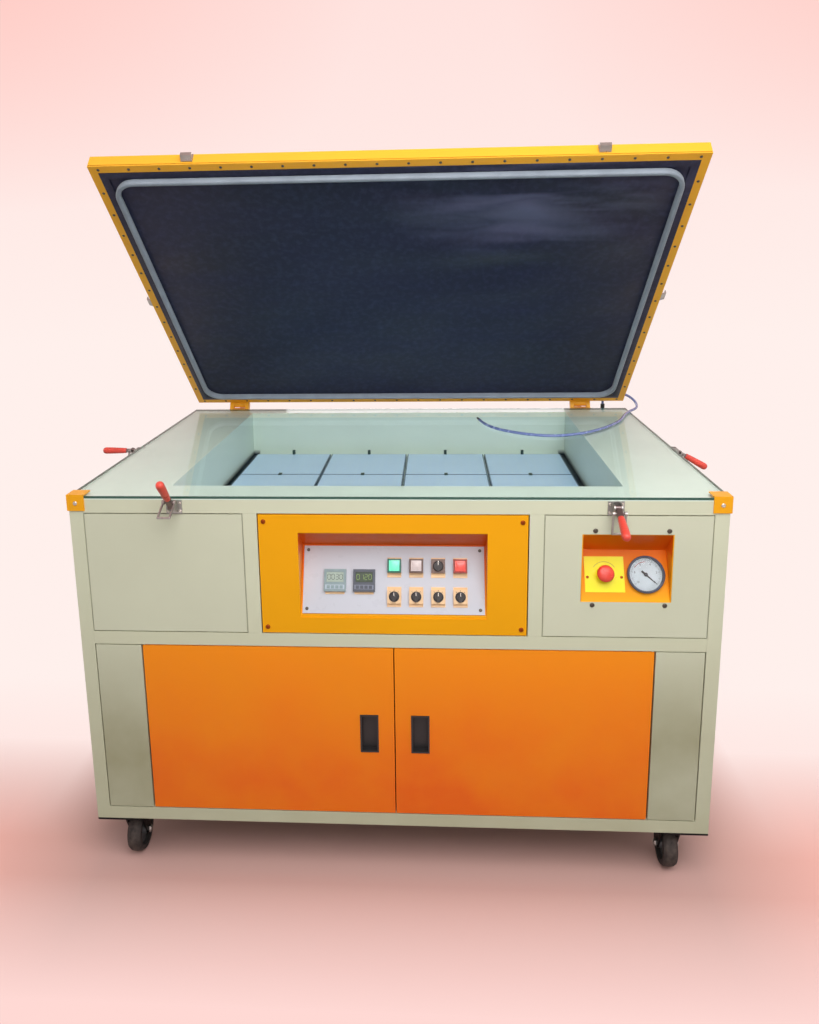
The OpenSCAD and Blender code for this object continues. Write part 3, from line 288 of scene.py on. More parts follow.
@dataclass(frozen=True)
class Finish:
    """A surface finish, which becomes one material."""

    name: str
    colour: Colour

    def make(self) -> bpy.types.Material:
        """Returns this finish's material, made at its first use.

        Returns:
            The material.
        """
        if self.name not in MADE:
            tree = Tree(f"{self.name}_finish")
            self.wire(tree)
            MADE[self.name] = tree.material
        return MADE[self.name]

    def wire(self, tree: Tree) -> None:
        """Sets up the nodes."""
        raise NotImplementedError


@dataclass(frozen=True)
class PowderCoat(Finish):
    """Baked paint with a fine orange peel, slow tone changes, and dirt mixed with painted shade that darkens
    it towards the bottom.
    """

    # The dirt's colour, which is also the colour of the painted shade low down.
    soil: Colour = (0.2, 0.15, 0.1)
    gloss: float = 0.42
    soiling: float = 0.35
    soil_from: float = 0.7
    soil_to: float = 0.05

    def tone(self, tree: Tree) -> Socket:
        """Gives the clean paint's slowly changing colour."""
        return tree.cloud(tree.noise(5.0, 5.0), self.colour, 0.97, 1.02)

    def wire(self, tree: Tree) -> None:
        """Sets up the paint's nodes.

        Args:
            tree: The material's node tree.
        """
        # Dirt and painted shade: the paint darkens in patches towards the bottom, for the lower parts' shade
        # as well as for dirt.
        height = tree.axes()[2]
        patches = tree.span(tree.noise(5.0), 0.0, 0.75)
        low = tree.times(tree.span(height, self.soil_from, self.soil_to), patches)
        dirty_and_shaded = tree.mix(tree.times(low, self.soiling), self.tone(tree), self.soil)
        specks = tree.span(tree.cells(210.0), 0.05, 0.02, 0.0, 0.22)
        dull = tree.noise(38.0, 3.0)
        tree.set(Base_Color=tree.mix(specks, dirty_and_shaded, deeper(self.soil, 0.7)))
        tree.set(Roughness=tree.span(dull, 0.3, 0.7, self.gloss - 0.05, self.gloss + 0.08))
        tree.set(Coat_Weight=0.06, Coat_Roughness=0.2, Specular_IOR_Level=0.3)
        tree.bump(tree.noise(520.0, 2.0), 0.00018, 0.5)


@dataclass(frozen=True)
class RecessPaint(PowderCoat):
    """Orange paint with painted shade: it deepens to red inside of a recess and on the recess's ceiling,
    where less light comes.
    """

    # The painted shade's colour, deep in the recess and on its ceiling.
    inner: Colour = paint(232, 104, 14)
    mouth: float = -0.497
    lip: float = 0.0014
    depth: float = 0.052
    ceiling: float = 0.783
    fade: float = 0.012

    def wire(self, tree: Tree) -> None:
        """Sets up the paint, then deepens it with painted shade by how far in it lies and on the ceiling.

        Args:
            tree: The material's node tree.
        """
        super().wire(tree)
        depth, height = tree.axes()[1:]
        # Painted shade: the paint deepens with depth into the recess.
        depth_shade = tree.calc("POWER", tree.span(depth, self.mouth, self.mouth + self.depth), 0.8)
        inside = tree.span(depth, self.mouth - self.lip, self.mouth)
        # Painted shade on the recess's ceiling, just inside its mouth.
        under = tree.times(tree.span(height, self.ceiling - self.fade, self.ceiling), inside)
        tree.set(Base_Color=tree.mix(tree.most(depth_shade, under), self.tone(tree), self.inner))
        tree.set(Specular_IOR_Level=0.14, Coat_Weight=0.0)


@dataclass(frozen=True)
class ChamberPaint(PowderCoat):
    """The chamber's pale paint, with painted shade: near black on the floor beside the lamp boards."""

    # The painted shade's colour on the floor beside the boards.
    floor: Colour = (0.01, 0.02, 0.025)
    floor_low: float = 0.768
    floor_top: float = 0.784
    beside: tuple[float, float] = (0.488, 0.482)

    def wire(self, tree: Tree) -> None:
        """Sets up the paint, then darkens the floor beside the boards with painted shade.

        Args:
            tree: The material's node tree.
        """
        super().wire(tree)
        across, _, height = tree.axes()
        cloud = tree.cloud(tree.noise(6.0, 5.0), self.colour, 0.95, 1.0)
        # Painted shade on the floor beside the boards.
        inside = tree.span(tree.calc("ABSOLUTE", across), *self.beside)
        clear_of_shade = tree.most(tree.span(height, self.floor_low, self.floor_top), inside)
        tree.set(Base_Color=tree.mix(clear_of_shade, self.floor, cloud))


@dataclass(frozen=True)
class Metal(Finish):
    """Plated or bare metal with fine drawn lines and dull patches."""

    rough: float = 0.3
    drawn: Point = (900.0, 60.0, 60.0)
    share: float = 0.9

    def wire(self, tree: Tree) -> None:
        """Sets up the metal's nodes.

        Args:
            tree: The material's node tree.
        """
        lines = tree.noise(1.0, 3.0, tree.shifted(ORIGIN, scale=self.drawn))
        dull = tree.noise(45.0, 5.0)
        both = tree.calc("ADD", lines, dull)
        tree.set(Base_Color=tree.cloud(dull, self.colour, 1.0, 0.72, 0.35, 0.75), Metallic=self.share)
        tree.set(Roughness=tree.span(both, 0.7, 1.3, self.rough - 0.07, self.rough + 0.15))
        tree.bump(lines, 0.00006, 0.6)


@dataclass(frozen=True)
class Moulded(Finish):
    """Moulded plastic with a spark-eroded grain."""

    rough: float = 0.42
    grain: float = 1400.0

    def wire(self, tree: Tree) -> None:
        """Sets up the plastic's nodes.

        Args:
            tree: The material's node tree.
        """
        tone = tree.noise(26.0, 4.0)
        worn = tree.span(tree.noise(90.0, 6.0), 0.62, 0.8, 0.0, 0.35)
        pale = tuple(min(1.0, level * 1.25 + 0.02) for level in self.colour)
        tree.set(Base_Color=tree.mix(worn, tree.cloud(tone, self.colour, 0.88, 1.1), pale))
        tree.set(Roughness=tree.span(tone, 0.3, 0.7, self.rough - 0.06, self.rough + 0.1))
        tree.bump(tree.cells(self.grain), 0.00008, 0.5)


@dataclass(frozen=True)
class BezelPlastic(Moulded):
    """The switch bezels' plastic, brown in the upper row and tan in the lower one."""

    lower: Colour = (0.8, 0.55, 0.3)
    split: float = 0.707

    def wire(self, tree: Tree) -> None:
        """Sets up the plastic, then colours it by its row.

        Args:
            tree: The material's node tree.
        """
        super().wire(tree)
        low = tree.calc("LESS_THAN", tree.axes()[2], self.split)
        grain = tree.noise(60.0, 5.0)
        brown = tree.cloud(grain, self.colour, 0.88, 1.1)
        tree.set(Base_Color=tree.mix(low, brown, tree.cloud(grain, self.lower, 0.9, 1.0)))


@dataclass(frozen=True)
class TimerPlastic(Moulded):
    """The two timers' plastic, pale grey-blue on the left one and dark on the right one."""

    left: Colour = (0.25, 0.32, 0.34)
    split: float = -0.096

    def wire(self, tree: Tree) -> None:
        """Sets up the plastic, then colours it by its side.

        Args:
            tree: The material's node tree.
        """
        super().wire(tree)
        right = tree.calc("GREATER_THAN", tree.axes()[0], self.split)
        grain = tree.noise(60.0, 5.0)
        pale = tree.cloud(grain, self.left, 0.88, 1.06)
        tree.set(Base_Color=tree.mix(right, pale, tree.cloud(grain, self.colour, 0.86, 1.08)))


@dataclass(frozen=True)
class Rubber(Finish):
    """Sheet rubber with dust, faint rubbed streaks and a fine cloth grain."""

    dust: Colour = (0.2, 0.22, 0.26)
    rough: float = 0.5

    def wire(self, tree: Tree) -> None:
        """Sets up the rubber's nodes.

        Args:
            tree: The material's node tree.
        """
        rubbed = tree.noise(1.0, 6.0, tree.shifted(ORIGIN, (0.3, 0.0, 0.5), (3.0, 14.0, 9.0)))
        dusty = tree.span(tree.noise(70.0, 8.0), 0.45, 0.8, 0.0, 0.3)
        body = tree.cloud(rubbed, self.colour, 1.0, 1.45, 0.35, 0.7)
        tree.set(Base_Color=tree.mix(dusty, body, self.dust))
        tree.set(Roughness=tree.span(rubbed, 0.3, 0.7, self.rough - 0.08, self.rough + 0.12))
        tree.set(Sheen_Weight=0.05, Sheen_Roughness=0.4, Specular_IOR_Level=0.4)
        tree.bump(tree.calc("ADD", tree.noise(900.0, 2.0), tree.noise(60.0, 3.0)), 0.00016, 0.5)


@dataclass(frozen=True)
class BlanketRubber(Rubber):
    """The blanket's rubber, with a painted sheen: pale streaks over its soft folds at the upper right."""

    # The painted sheen's colour.
    bloom: Colour = paint(104, 106, 138)
    middle: Point = (0.34, -0.16, 1.54)
    reach: Point = (2.6, 4.0, 6.2)
    strength: float = 0.8

    def wire(self, tree: Tree) -> None:
        """Sets up the rubber, then paints the sheen over it in falling and rising streaks.

        Args:
            tree: The material's node tree.
        """
        super().wire(tree)
        body = tree.shader.inputs["Base Color"].links[0].from_socket
        across, _, height = tree.axes(tree.shifted(self.middle, scale=self.reach))
        near = tree.span(tree.length(across, height), 1.0, 0.15)
        falling = tree.noise(1.0, 2.0, tree.shifted(self.middle, (0.0, -0.35, 0.0), (3.4, 6.0, 30.0)))
        rising = tree.noise(1.0, 1.0, tree.shifted(self.middle, (0.0, 0.25, 0.0), (4.2, 6.0, 24.0)))
        # The painted sheen's streaks, strongest near the upper right.
        streaks = tree.most(tree.span(falling, 0.48, 0.72), tree.span(rising, 0.52, 0.76))
        share = tree.times(tree.times(near, streaks), self.strength)
        tree.set(Base_Color=tree.mix(share, body, self.bloom), Specular_IOR_Level=0.28)


@dataclass(frozen=True)
class Foam(Finish):
    """Closed cell foam with small pores."""

    def wire(self, tree: Tree) -> None:
        """Sets up the foam's nodes.

        Args:
            tree: The material's node tree.
        """
        pores = tree.cells(650.0)
        worn = tree.noise(24.0, 5.0)
        body = tree.cloud(worn, self.colour, 1.0, 0.8, 0.3, 0.75)
        # Painted shade: the pores are darker inside.
        deep = tree.span(pores, 0.25, 0.1, 0.0, 0.4)
        tree.set(Base_Color=tree.mix(deep, body, deeper(self.colour, 0.45)))
        tree.set(Roughness=tree.span(worn, 0.2, 0.8, 0.72, 0.9), Sheen_Weight=0.2, Sheen_Roughness=0.5)
        tree.bump(pores, 0.0003, 0.7)


@dataclass(frozen=True)
class TableGlass(Finish):
    """Float glass: clear with a faint green tint, and deep green at its cut edges."""

    edge: Colour = (0.02, 0.06, 0.045)
    middle: float = 0.907
    half: float = 0.0028

    def wire(self, tree: Tree) -> None:
        """Sets up the glass, which lets the lamps through to the chamber.

        Args:
            tree: The material's node tree.
        """
        smear = tree.noise(9.0, 6.0)
        clear = tree.add("BsdfTransparent", tree.cloud(smear, self.colour, 1.0, 0.985, 0.4, 0.8))
        gloss = tree.add("BsdfGlossy", (1.0, 1.0, 1.0), tree.span(smear, 0.35, 0.75, 0.02, 0.09))
        face = tree.add("MixShader", tree.outer_gloss(1.13), clear, gloss)
        from_middle = tree.calc("ABSOLUTE", tree.calc("SUBTRACT", tree.axes()[2], self.middle))
        within = tree.calc("LESS_THAN", from_middle, self.half)
        tree.set(Base_Color=tree.mix(tree.noise(130.0), self.edge, deeper(self.edge, 2.2)), Roughness=0.12)
        tree.show(tree.add("MixShader", tree.calc("SUBTRACT", 1.0, within), tree.shader.outputs[0], face))


@dataclass(frozen=True)
class LampBoard(Finish):
    """Milky diffuser over rows of lamps, with each lamp a faint brighter spot, painted shade in the slots
    between the boards and on their sides, and a faint painted glow on the unlit boards.
    """

    pitch: float = 0.0244
    board: float = 0.244
    lamps_from: float = 0.4
    boards_from: float = 0.402
    foot: tuple[float, float] = (0.7745, 0.7715)
    spot: Colour = (0.72, 0.86, 0.95)
    # The painted shade's colour in the slots between the boards and on their sides.
    slot: Colour = (0.05, 0.12, 0.2)

    def wire(self, tree: Tree) -> None:
        """Sets up the diffuser's nodes.

        Args:
            tree: The material's node tree.
        """
        x, y, z = tree.axes()
        across = tree.calc("PINGPONG", x, self.pitch / 2)
        along = tree.calc("PINGPONG", tree.calc("SUBTRACT", y, self.lamps_from), self.pitch / 2)
        glow = tree.span(tree.length(across, along), 0.0022, 0.0065, 0.6, 0.0)
        body = tree.mix(glow, tree.cloud(tree.noise(14.0, 5.0), self.colour, 0.96, 1.0), self.spot)
        from_row = tree.calc("PINGPONG", tree.calc("SUBTRACT", y, self.boards_from), self.board / 2)
        rows = tree.span(from_row, 0.0040, 0.0024)
        between = tree.span(tree.calc("PINGPONG", x, self.board / 2), 0.0062, 0.0042)
        # Painted shade in the slots between the boards and down their sides.
        side = tree.most(between, rows, tree.span(z, *self.foot))
        tree.set(Base_Color=tree.mix(side, body, self.slot), Roughness=0.28)
        tree.set(Coat_Weight=0.2, Coat_Roughness=0.12)
        # A faint painted glow on the boards' tops, though their lamps are off.
        tree.set(Emission_Color=tree.mix(side, paint(140, 196, 255), ORIGIN), Emission_Strength=0.08)
        tree.bump(glow, 0.0003, 0.5)


@dataclass(frozen=True)
class Lens(Finish):
    """Coloured clear cap that glows a little from inside."""

    glow: float = 0.35
    ribs: float = 2200.0

    def wire(self, tree: Tree) -> None:
        """Sets up the cap's nodes.

        Args:
            tree: The material's node tree.
        """
        tone = tree.cloud(tree.noise(120.0, 3.0), self.colour, 1.0, 0.82)
        tree.set(Base_Color=tone, Roughness=0.18, Coat_Weight=0.4, Coat_Roughness=0.08)
        tree.set(Emission_Color=self.colour, Emission_Strength=self.glow)
        tree.bump(tree.cells(self.ribs), 0.0001, 0.4)


@dataclass(frozen=True)
class HosePlastic(Finish):
    """Soft clear tube over a pale blue core, a little cloudy."""

    def wire(self, tree: Tree) -> None:
        """Sets up the hose's nodes.

        Args:
            tree: The material's node tree.
        """
        cloud = tree.noise(60.0, 5.0)
        tone = tree.cloud(cloud, self.colour, 1.0, 0.85)
        tree.set(Base_Color=tone, Roughness=tree.span(cloud, 0.2, 0.8, 0.16, 0.34))
        tree.set(Transmission_Weight=0.3, IOR=1.42, Coat_Weight=0.3, Coat_Roughness=0.1)
        tree.bump(tree.noise(700.0, 2.0), 0.0001, 0.4)


@dataclass(frozen=True)
class StudioGround(Finish):
    """The studio's pale ground, which takes the object's shadow, has a painted shadow in its colour, darker
    near the cabinet and lighter at the sides, and fades into the backdrop.
    """

    back: Colour = (1.0, 0.9, 0.88)
    near: Colour = (1.0, 0.7, 0.65)
    bounce: Colour = (0.24, 0.22, 0.2)
    # The lighter colour at the sides, round the painted shadow near the cabinet.
    side: Colour = (0.95, 0.5, 0.44)
    half: tuple[float, float] = (0.7, 0.5)

    def wire(self, tree: Tree) -> None:
        """Sets up the ground's nodes, which fade by the distance from the cabinet's footprint.

        Args:
            tree: The material's node tree.
        """
        y = tree.axes()[1]
        past_x, past_y = (
            tree.most(tree.calc("SUBTRACT", tree.calc("ABSOLUTE", place), half), 0.0)
            for place, half in zip(tree.axes(), self.half)
        )
        away = tree.span(tree.length(past_x, past_y), 0.35, 0.95)
        before = tree.span(y, -0.54, -0.86)
        beside = tree.times(tree.span(y, -0.42, 0.0), tree.span(past_x, 0.02, 0.22))
        behind = tree.span(y, 0.4, 1.0)
        # Painted shadow: the ground's colour is darker near the cabinet and lighter at the sides.
        painted_shadow_tone = tree.mix(tree.span(past_x, 0.0, 0.3), self.colour, self.side)
        grainy = tree.mix(tree.noise(3.0), painted_shadow_tone, deeper(self.colour, 1.02))
        tree.set(Base_Color=tree.mix(0.1, painted_shadow_tone, grainy), Roughness=0.9, Specular_IOR_Level=0.1)
        ahead = tree.times(tree.span(y, 0.35, -0.75), tree.span(y, -2.2, -1.1))
        tinted = tree.times(ahead, tree.span(past_x, 1.3, 0.6))
        far = tree.add("Emission", tree.mix(tinted, self.back, self.near))
        share = tree.most(away, behind, before, beside)
        shown = tree.add("MixShader", share, tree.shader.outputs[0], far)
        dull = tree.add("BsdfDiffuse", self.bounce)
        tree.show(tree.add("MixShader", tree.seen(), dull, shown))


@dataclass(frozen=True)
class WheelRubber(Finish):
    """A caster wheel: a rubber tread on a smooth grey core, dusty where it rolls."""

    hub: Point = (0.0, 0.0, 0.05)
    core: Colour = (0.09, 0.09, 0.095)
    core_end: tuple[float, float] = (0.0335, 0.0345)
    dust_from: tuple[float, float] = (0.044, 0.05)

    def wire(self, tree: Tree) -> None:
        """Sets up the wheel's nodes round its own axle.

        Args:
            tree: The material's node tree.
        """
        reach = tree.length(*tree.axes(tree.shifted(self.hub))[1:])
        tread = tree.span(reach, *self.core_end)
        dusty = tree.times(tree.span(reach, *self.dust_from), tree.span(tree.noise(80.0, 6.0), 0.3, 0.75))
        body = tree.mix(tread, self.core, self.colour)
        tree.set(Base_Color=tree.mix(tree.times(dusty, 0.55), body, paint(110, 98, 90)))
        tree.set(Roughness=tree.span(tree.calc("ADD", tread, tree.noise(50.0)), 0.2, 1.6, 0.32, 0.7))
        tree.bump(tree.calc("ADD", tree.noise(700.0, 2.0), tree.noise(90.0, 3.0)), 0.0002, 0.5)


@dataclass(frozen=True)
class DialFace(Finish):
    """The gauge's white printed dial, a little darker towards its rim."""

    centre: Point = ORIGIN
    radius: float = 0.035

    def wire(self, tree: Tree) -> None:
        """Sets up the dial's nodes round its own middle.

        Args:
            tree: The material's node tree.
        """
        reach = tree.length(*tree.axes(tree.shifted(self.centre)))
        darker_to_rim = tree.span(reach, self.radius * 0.7, self.radius, 0.0, 0.6)
        cloud = tree.cloud(tree.noise(90.0, 5.0), self.colour, 1.0, 0.95)
        tree.set(Base_Color=tree.mix(darker_to_rim, cloud, deeper(self.colour, 0.72)), Roughness=0.35)
        tree.bump(tree.noise(1200.0, 2.0), 0.00004, 0.3)


@dataclass(frozen=True)
class ClearLens(Finish):
    """A thin clear pane with a light gloss."""

    def wire(self, tree: Tree) -> None:
        """Sets up the pane's nodes, clear where it is seen straight and glossy where it is not.

        Args:
            tree: The material's node tree.
        """
        smear = tree.noise(60.0, 5.0)
        clear = tree.add("BsdfTransparent", tree.cloud(smear, self.colour, 1.0, 0.96, 0.4, 0.8))
        gloss = tree.add("BsdfGlossy", (0.8, 0.8, 0.8), tree.span(smear, 0.3, 0.8, 0.02, 0.1))
        tree.show(tree.add("MixShader", tree.outer_gloss(1.3), clear, gloss))


UPRIGHT: Point = (60.0, 60.0, 900.0)
EVEN: Point = (200.0, 200.0, 200.0)
SMOOTH: float = 3000.0
YOLK: Colour = paint(246, 168, 20)
RUST: Colour = paint(196, 84, 20)

# The cream and the doors' orange darken towards the bottom: dirt and painted shade, strongest on the front
# panels and the doors.
CREAM = PowderCoat("cabinet_paint", paint(214, 214, 188), paint(146, 132, 86), soiling=0.55)
PANEL_CREAM_SHADED = PowderCoat(
    "front_panel_paint_shaded", paint(211, 211, 187), paint(126, 116, 70), soiling=0.72, soil_from=0.6, soil_to=0.35
)
ORANGE = PowderCoat("orange_paint", YOLK, RUST, gloss=0.34)
RECESS_ORANGE_SHADED = RecessPaint("recess_paint_shaded", YOLK, RUST, gloss=0.34)
DOOR_ORANGE_SHADED = PowderCoat(
    "door_paint_shaded", paint(255, 148, 16), paint(242, 104, 16), 0.34, soiling=1.2, soil_from=0.59, soil_to=0.22
)
LID_ORANGE = PowderCoat("lid_paint", paint(246, 176, 44), paint(196, 90, 20), gloss=0.36, soiling=0.1)
GLASS = TableGlass("table_glass", (0.975, 0.992, 0.984))
CHAMBER = ChamberPaint("chamber_paint", paint(224, 238, 226), paint(120, 130, 120), soiling=0.0)
BOARD = LampBoard("led_diffuser", paint(206, 230, 255), slot=paint(62, 92, 126))
WHITE = PowderCoat("white_plate_paint", paint(198, 199, 208), paint(180, 176, 180), gloss=0.3, soiling=0.0)
BLACK = Moulded("black_plastic", paint(34, 33, 34))
TIMER_PLASTIC = TimerPlastic("timer_plastic", paint(70, 78, 90), rough=0.35, left=paint(134, 154, 158))
BROWN_PLASTIC = Moulded("bezel_plastic", paint(112, 88, 78), rough=0.35)
BEZEL = BezelPlastic("bezel_rows", paint(112, 88, 78), rough=0.35, lower=paint(236, 196, 150))
TAN = Moulded("tan_plate", paint(236, 196, 150), rough=0.4)
GAUGE_RIM = Moulded("gauge_metal", paint(72, 80, 96), rough=0.25)
YELLOW = PowderCoat("yellow_plate", paint(240, 232, 20), paint(200, 160, 20), gloss=0.32, soiling=0.0)
CAST = PowderCoat("pump_paint", paint(112, 126, 134), paint(84, 84, 78), gloss=0.38, soiling=0.4)
DRIVER = Metal("driver_metal", paint(190, 192, 194), rough=0.4, drawn=(60.0, 900.0, 60.0), share=0.35)
STRUT = Metal("strut_metal", paint(54, 54, 58), rough=0.32, drawn=UPRIGHT)
ZINC = Metal("clamp_steel", paint(168, 168, 164), rough=0.32)
CHROME = Metal("rod_chrome", paint(214, 216, 218), rough=0.12, drawn=UPRIGHT)
GRIP = Moulded("grip_red", paint(222, 74, 60), rough=0.3, grain=900.0)
CASTER = Metal("caster_metal", paint(40, 40, 42), rough=0.42)
TYRE = Rubber("wheel_rubber", paint(30, 28, 27), dust=paint(92, 84, 78), rough=0.6)
BLANKET_SHEEN = BlanketRubber("blanket_rubber", paint(23, 27, 48), dust=paint(70, 72, 106), rough=0.46)
FOAM = Foam("gasket_foam", paint(146, 156, 168))
HOSE = HosePlastic("hose_blue", paint(132, 150, 206))
GREEN_CLIP = Moulded("clip_green", paint(34, 62, 54), rough=0.4)
DISPLAY_PALE = Moulded("display_pale", paint(164, 180, 168), rough=0.16, grain=SMOOTH)
DISPLAY_DARK = Moulded("display_dark", paint(48, 68, 48), rough=0.14, grain=SMOOTH)
DIGIT_DARK = Moulded("digits_dark", paint(60, 74, 70), rough=0.3, grain=SMOOTH)
DIGIT_GREEN = Lens("digits_green", paint(126, 158, 84), glow=0.12)
# The gap strips' colour, painted shade in the panel gaps.
GAP_SHADE = Moulded("panel_gap_shade", paint(160, 160, 138), rough=0.6)
KEY_PALE = Moulded("key_pale", paint(176, 190, 202), rough=0.4)
KEY_GREY = Moulded("key_grey", paint(126, 132, 150), rough=0.4)
DIAL_INK = Moulded("dial_ink", paint(44, 46, 50), rough=0.5)
DIAL_RED = Moulded("dial_red", paint(156, 52, 44), rough=0.5)
CLEAR = ClearLens("gauge_lens", (0.98, 0.99, 0.99))
MINT = Lens("button_green_lens", paint(104, 232, 190))
MILK = Lens("button_white_lens", paint(206, 190, 188), glow=0.1)
RED_LENS = Lens("button_red_lens", paint(232, 70, 56), glow=0.15)
NECK = Metal("strap_dark", paint(120, 110, 108), rough=0.35)
HUB = Moulded("hub_grey", paint(78, 78, 80), rough=0.35)
OLIVE = Moulded("stop_print", paint(176, 160, 40), rough=0.4)
GREEN_RIM = Moulded("rim_green", paint(48, 110, 96), rough=0.3)
RED_RIM = Moulded("rim_red", paint(168, 66, 52), rough=0.3)
MUSHROOM = Moulded("stop_red", paint(226, 66, 50), rough=0.22)
SCREW = Metal("screw_steel", paint(96, 92, 84), rough=0.35, drawn=EVEN)
ORANGE_SCREW = Metal("screw_bronze", paint(150, 70, 24), rough=0.4, drawn=EVEN)
PALE_SCREW = Metal("screw_zinc", paint(210, 208, 200), rough=0.25, drawn=EVEN)


def free_selection() -> None:
    """Leaves edit mode and deselects every object."""
    if bpy.context.object and bpy.context.object.mode == "EDIT":
        bpy.ops.object.mode_set(mode="OBJECT")
    bpy.ops.object.select_all(action="DESELECT")


def take(piece: Piece) -> None:
    """Makes a piece the only selected and active one.

    Args:
        piece: The piece.
    """
    free_selection()
    piece.select_set(True)
    bpy.context.view_layer.objects.active = piece


def settle(piece: Piece, place: Matrix | None = None) -> Piece:
    """Writes a piece's own transform, and then a further place, into its mesh.

    Args:
        piece: The piece.
        place: Where it goes, from where it was modelled.

    Returns:
        The same piece, with its object at the origin.
    """
    free_selection()
    piece.data.transform(piece.matrix_world)
    if place is not None:
        piece.data.transform(place)
    piece.matrix_world = Matrix.Identity(4)
    return piece


def added(name: str) -> Piece:
    """Names the piece that was just added.

    Args:
        name: The piece's name.

    Returns:
        The same piece.
    """
    piece = bpy.context.object
    piece.name = name
    return settle(piece)


def block(name: str, size: Point, centre: Point = ORIGIN) -> Piece:
    """Adds a block of a size round a centre.

    Args:
        name: The piece's name.
        size: Its size along X, Y and Z.
        centre: Its centre.

    Returns:
        The block.
    """
    free_selection()
    bpy.ops.mesh.primitive_cube_add(size=1.0, location=centre, scale=size)
    return added(name)


def flat(name: str, wide: float, long: float, centre: Point, cells: tuple[int, int] = (1, 1)) -> Piece:
    """Adds a flat rectangle round a centre.

    Args:
        name: The piece's name.
        wide: Its width along X.
        long: Its length along Y.
        centre: Its centre.
        cells: Its number of cells across and along.

    Returns:
        The rectangle.
    """
    free_selection()
    across, along = cells
    bpy.ops.mesh.primitive_grid_add(x_subdivisions=across, y_subdivisions=along, size=1.0, location=centre)
    bpy.context.object.scale = (wide, long, 1.0)
    return added(name)


def hexagon(name: str, radius: float, depth: float) -> Piece:
    """Adds an upright six-sided bar that stands on the XY plane.

    Args:
        name: The piece's name.
        radius: Its radius to a corner.
        depth: How high it is.

    Returns:
        The bar.
    """
    free_selection()
    foot = (0.0, 0.0, depth / 2)
    bpy.ops.mesh.primitive_cylinder_add(vertices=6, radius=radius, depth=depth, location=foot)
    return added(name)


def open_mesh(piece: Piece, part: str = "FACE") -> None:
    """Takes a piece into edit mode with all of its faces, edges or vertices selected.

    Args:
        piece: The piece.
        part: What is selected: FACE, EDGE or VERT.
    """
    take(piece)
    bpy.ops.object.mode_set(mode="EDIT")
    bpy.ops.mesh.select_mode(type=part)
    bpy.ops.mesh.select_all(action="SELECT")


def close_mesh() -> None:
    """Turns the faces outwards and leaves edit mode."""
    bpy.ops.mesh.select_all(action="SELECT")
    bpy.ops.mesh.normals_make_consistent(inside=False)
    bpy.ops.object.mode_set(mode="OBJECT")


def pick(piece: Piece, test: Callable[[Vector, Vector], bool]) -> None:
    """Selects the faces that pass a test, in edit mode.

    Args:
        piece: The piece, which is taken into edit mode.
        test: Called with each face's centre and normal.
    """
    open_mesh(piece)
    bpy.ops.mesh.select_all(action="DESELECT")
    mesh = bmesh.from_edit_mesh(piece.data)
    for face in mesh.faces:
        if test(face.calc_center_median(), face.normal):
            face.select_set(True)
    bmesh.update_edit_mesh(piece.data)


def sink(piece: Piece, rim: float, depth: float) -> None:
    """Insets a piece's top by a rim and moves it in by a depth, or out where it is negative.

    Args:
        piece: The piece.
        rim: The rim's width.
        depth: How far in the top goes, or out where it is negative.
    """
    pick(piece, lambda centre, normal: normal.z > LOOKS)
    bpy.ops.mesh.inset(thickness=rim, depth=0.0)
    bpy.ops.mesh.extrude_region_shrink_fatten(TRANSFORM_OT_shrink_fatten={"value": -depth})
    bpy.ops.object.mode_set(mode="OBJECT")


def open_frame(piece: Piece, rim: float) -> None:
    """Opens an upright block into a square frame of a width.

    Args:
        piece: The piece.
        rim: The rim's width.
    """
    pick(piece, lambda centre, normal: abs(normal.z) > LOOKS)
    bpy.ops.mesh.inset(thickness=rim, depth=0.0)
    bpy.ops.mesh.bridge_edge_loops()
    bpy.ops.object.mode_set(mode="OBJECT")


def apply(piece: Piece, kind: str, **settings: object) -> None:
    """Applies a modifier of a kind, with its settings, to a piece.

    Args:
        piece: The piece.
        kind: The modifier's type.
        settings: Its settings.
    """
    take(piece)
    modifier = piece.modifiers.new("shape", kind)
    for name, value in settings.items():
        setattr(modifier, name, value)
    bpy.ops.object.modifier_apply(modifier="shape")


def soften(piece: Piece, width: float, segments: int = 2, angle: float = 30.0) -> Piece:
    """Rounds a piece's sharp edges and shades it smooth.

    Args:
        piece: The piece.
        width: The width of the rounding.
        segments: Its number of steps.
        angle: The least angle of an edge that is rounded, in degrees.

    Returns:
        The same piece.
    """
    limit = math.radians(angle)
    apply(piece, "BEVEL", width=width, segments=segments, limit_method="ANGLE", angle_limit=limit)
    bpy.ops.object.shade_smooth_by_angle(angle=math.radians(SMOOTH_UNDER))
    return piece


def tile(
    name: str,
    size: Point,
    rim: float,
    depth: float,
    soft: float,
    steps: int = 2,
    centre: Point | None = None,
) -> Piece:
    """Makes a small block with a sunk top and soft edges.

    Args:
        name: The piece's name.
        size: Its size.
        rim: The width of the rim round its top.
        depth: How deep the top is sunk.
        soft: The width of the edges' rounding.
        steps: The rounding's number of steps.
        centre: Its centre, or else it stands on the XY plane.

    Returns:
        The piece.
    """
    piece = block(name, size, centre or (0.0, 0.0, size[2] / 2))
    sink(piece, rim, depth)
    return soften(piece, soft, steps)


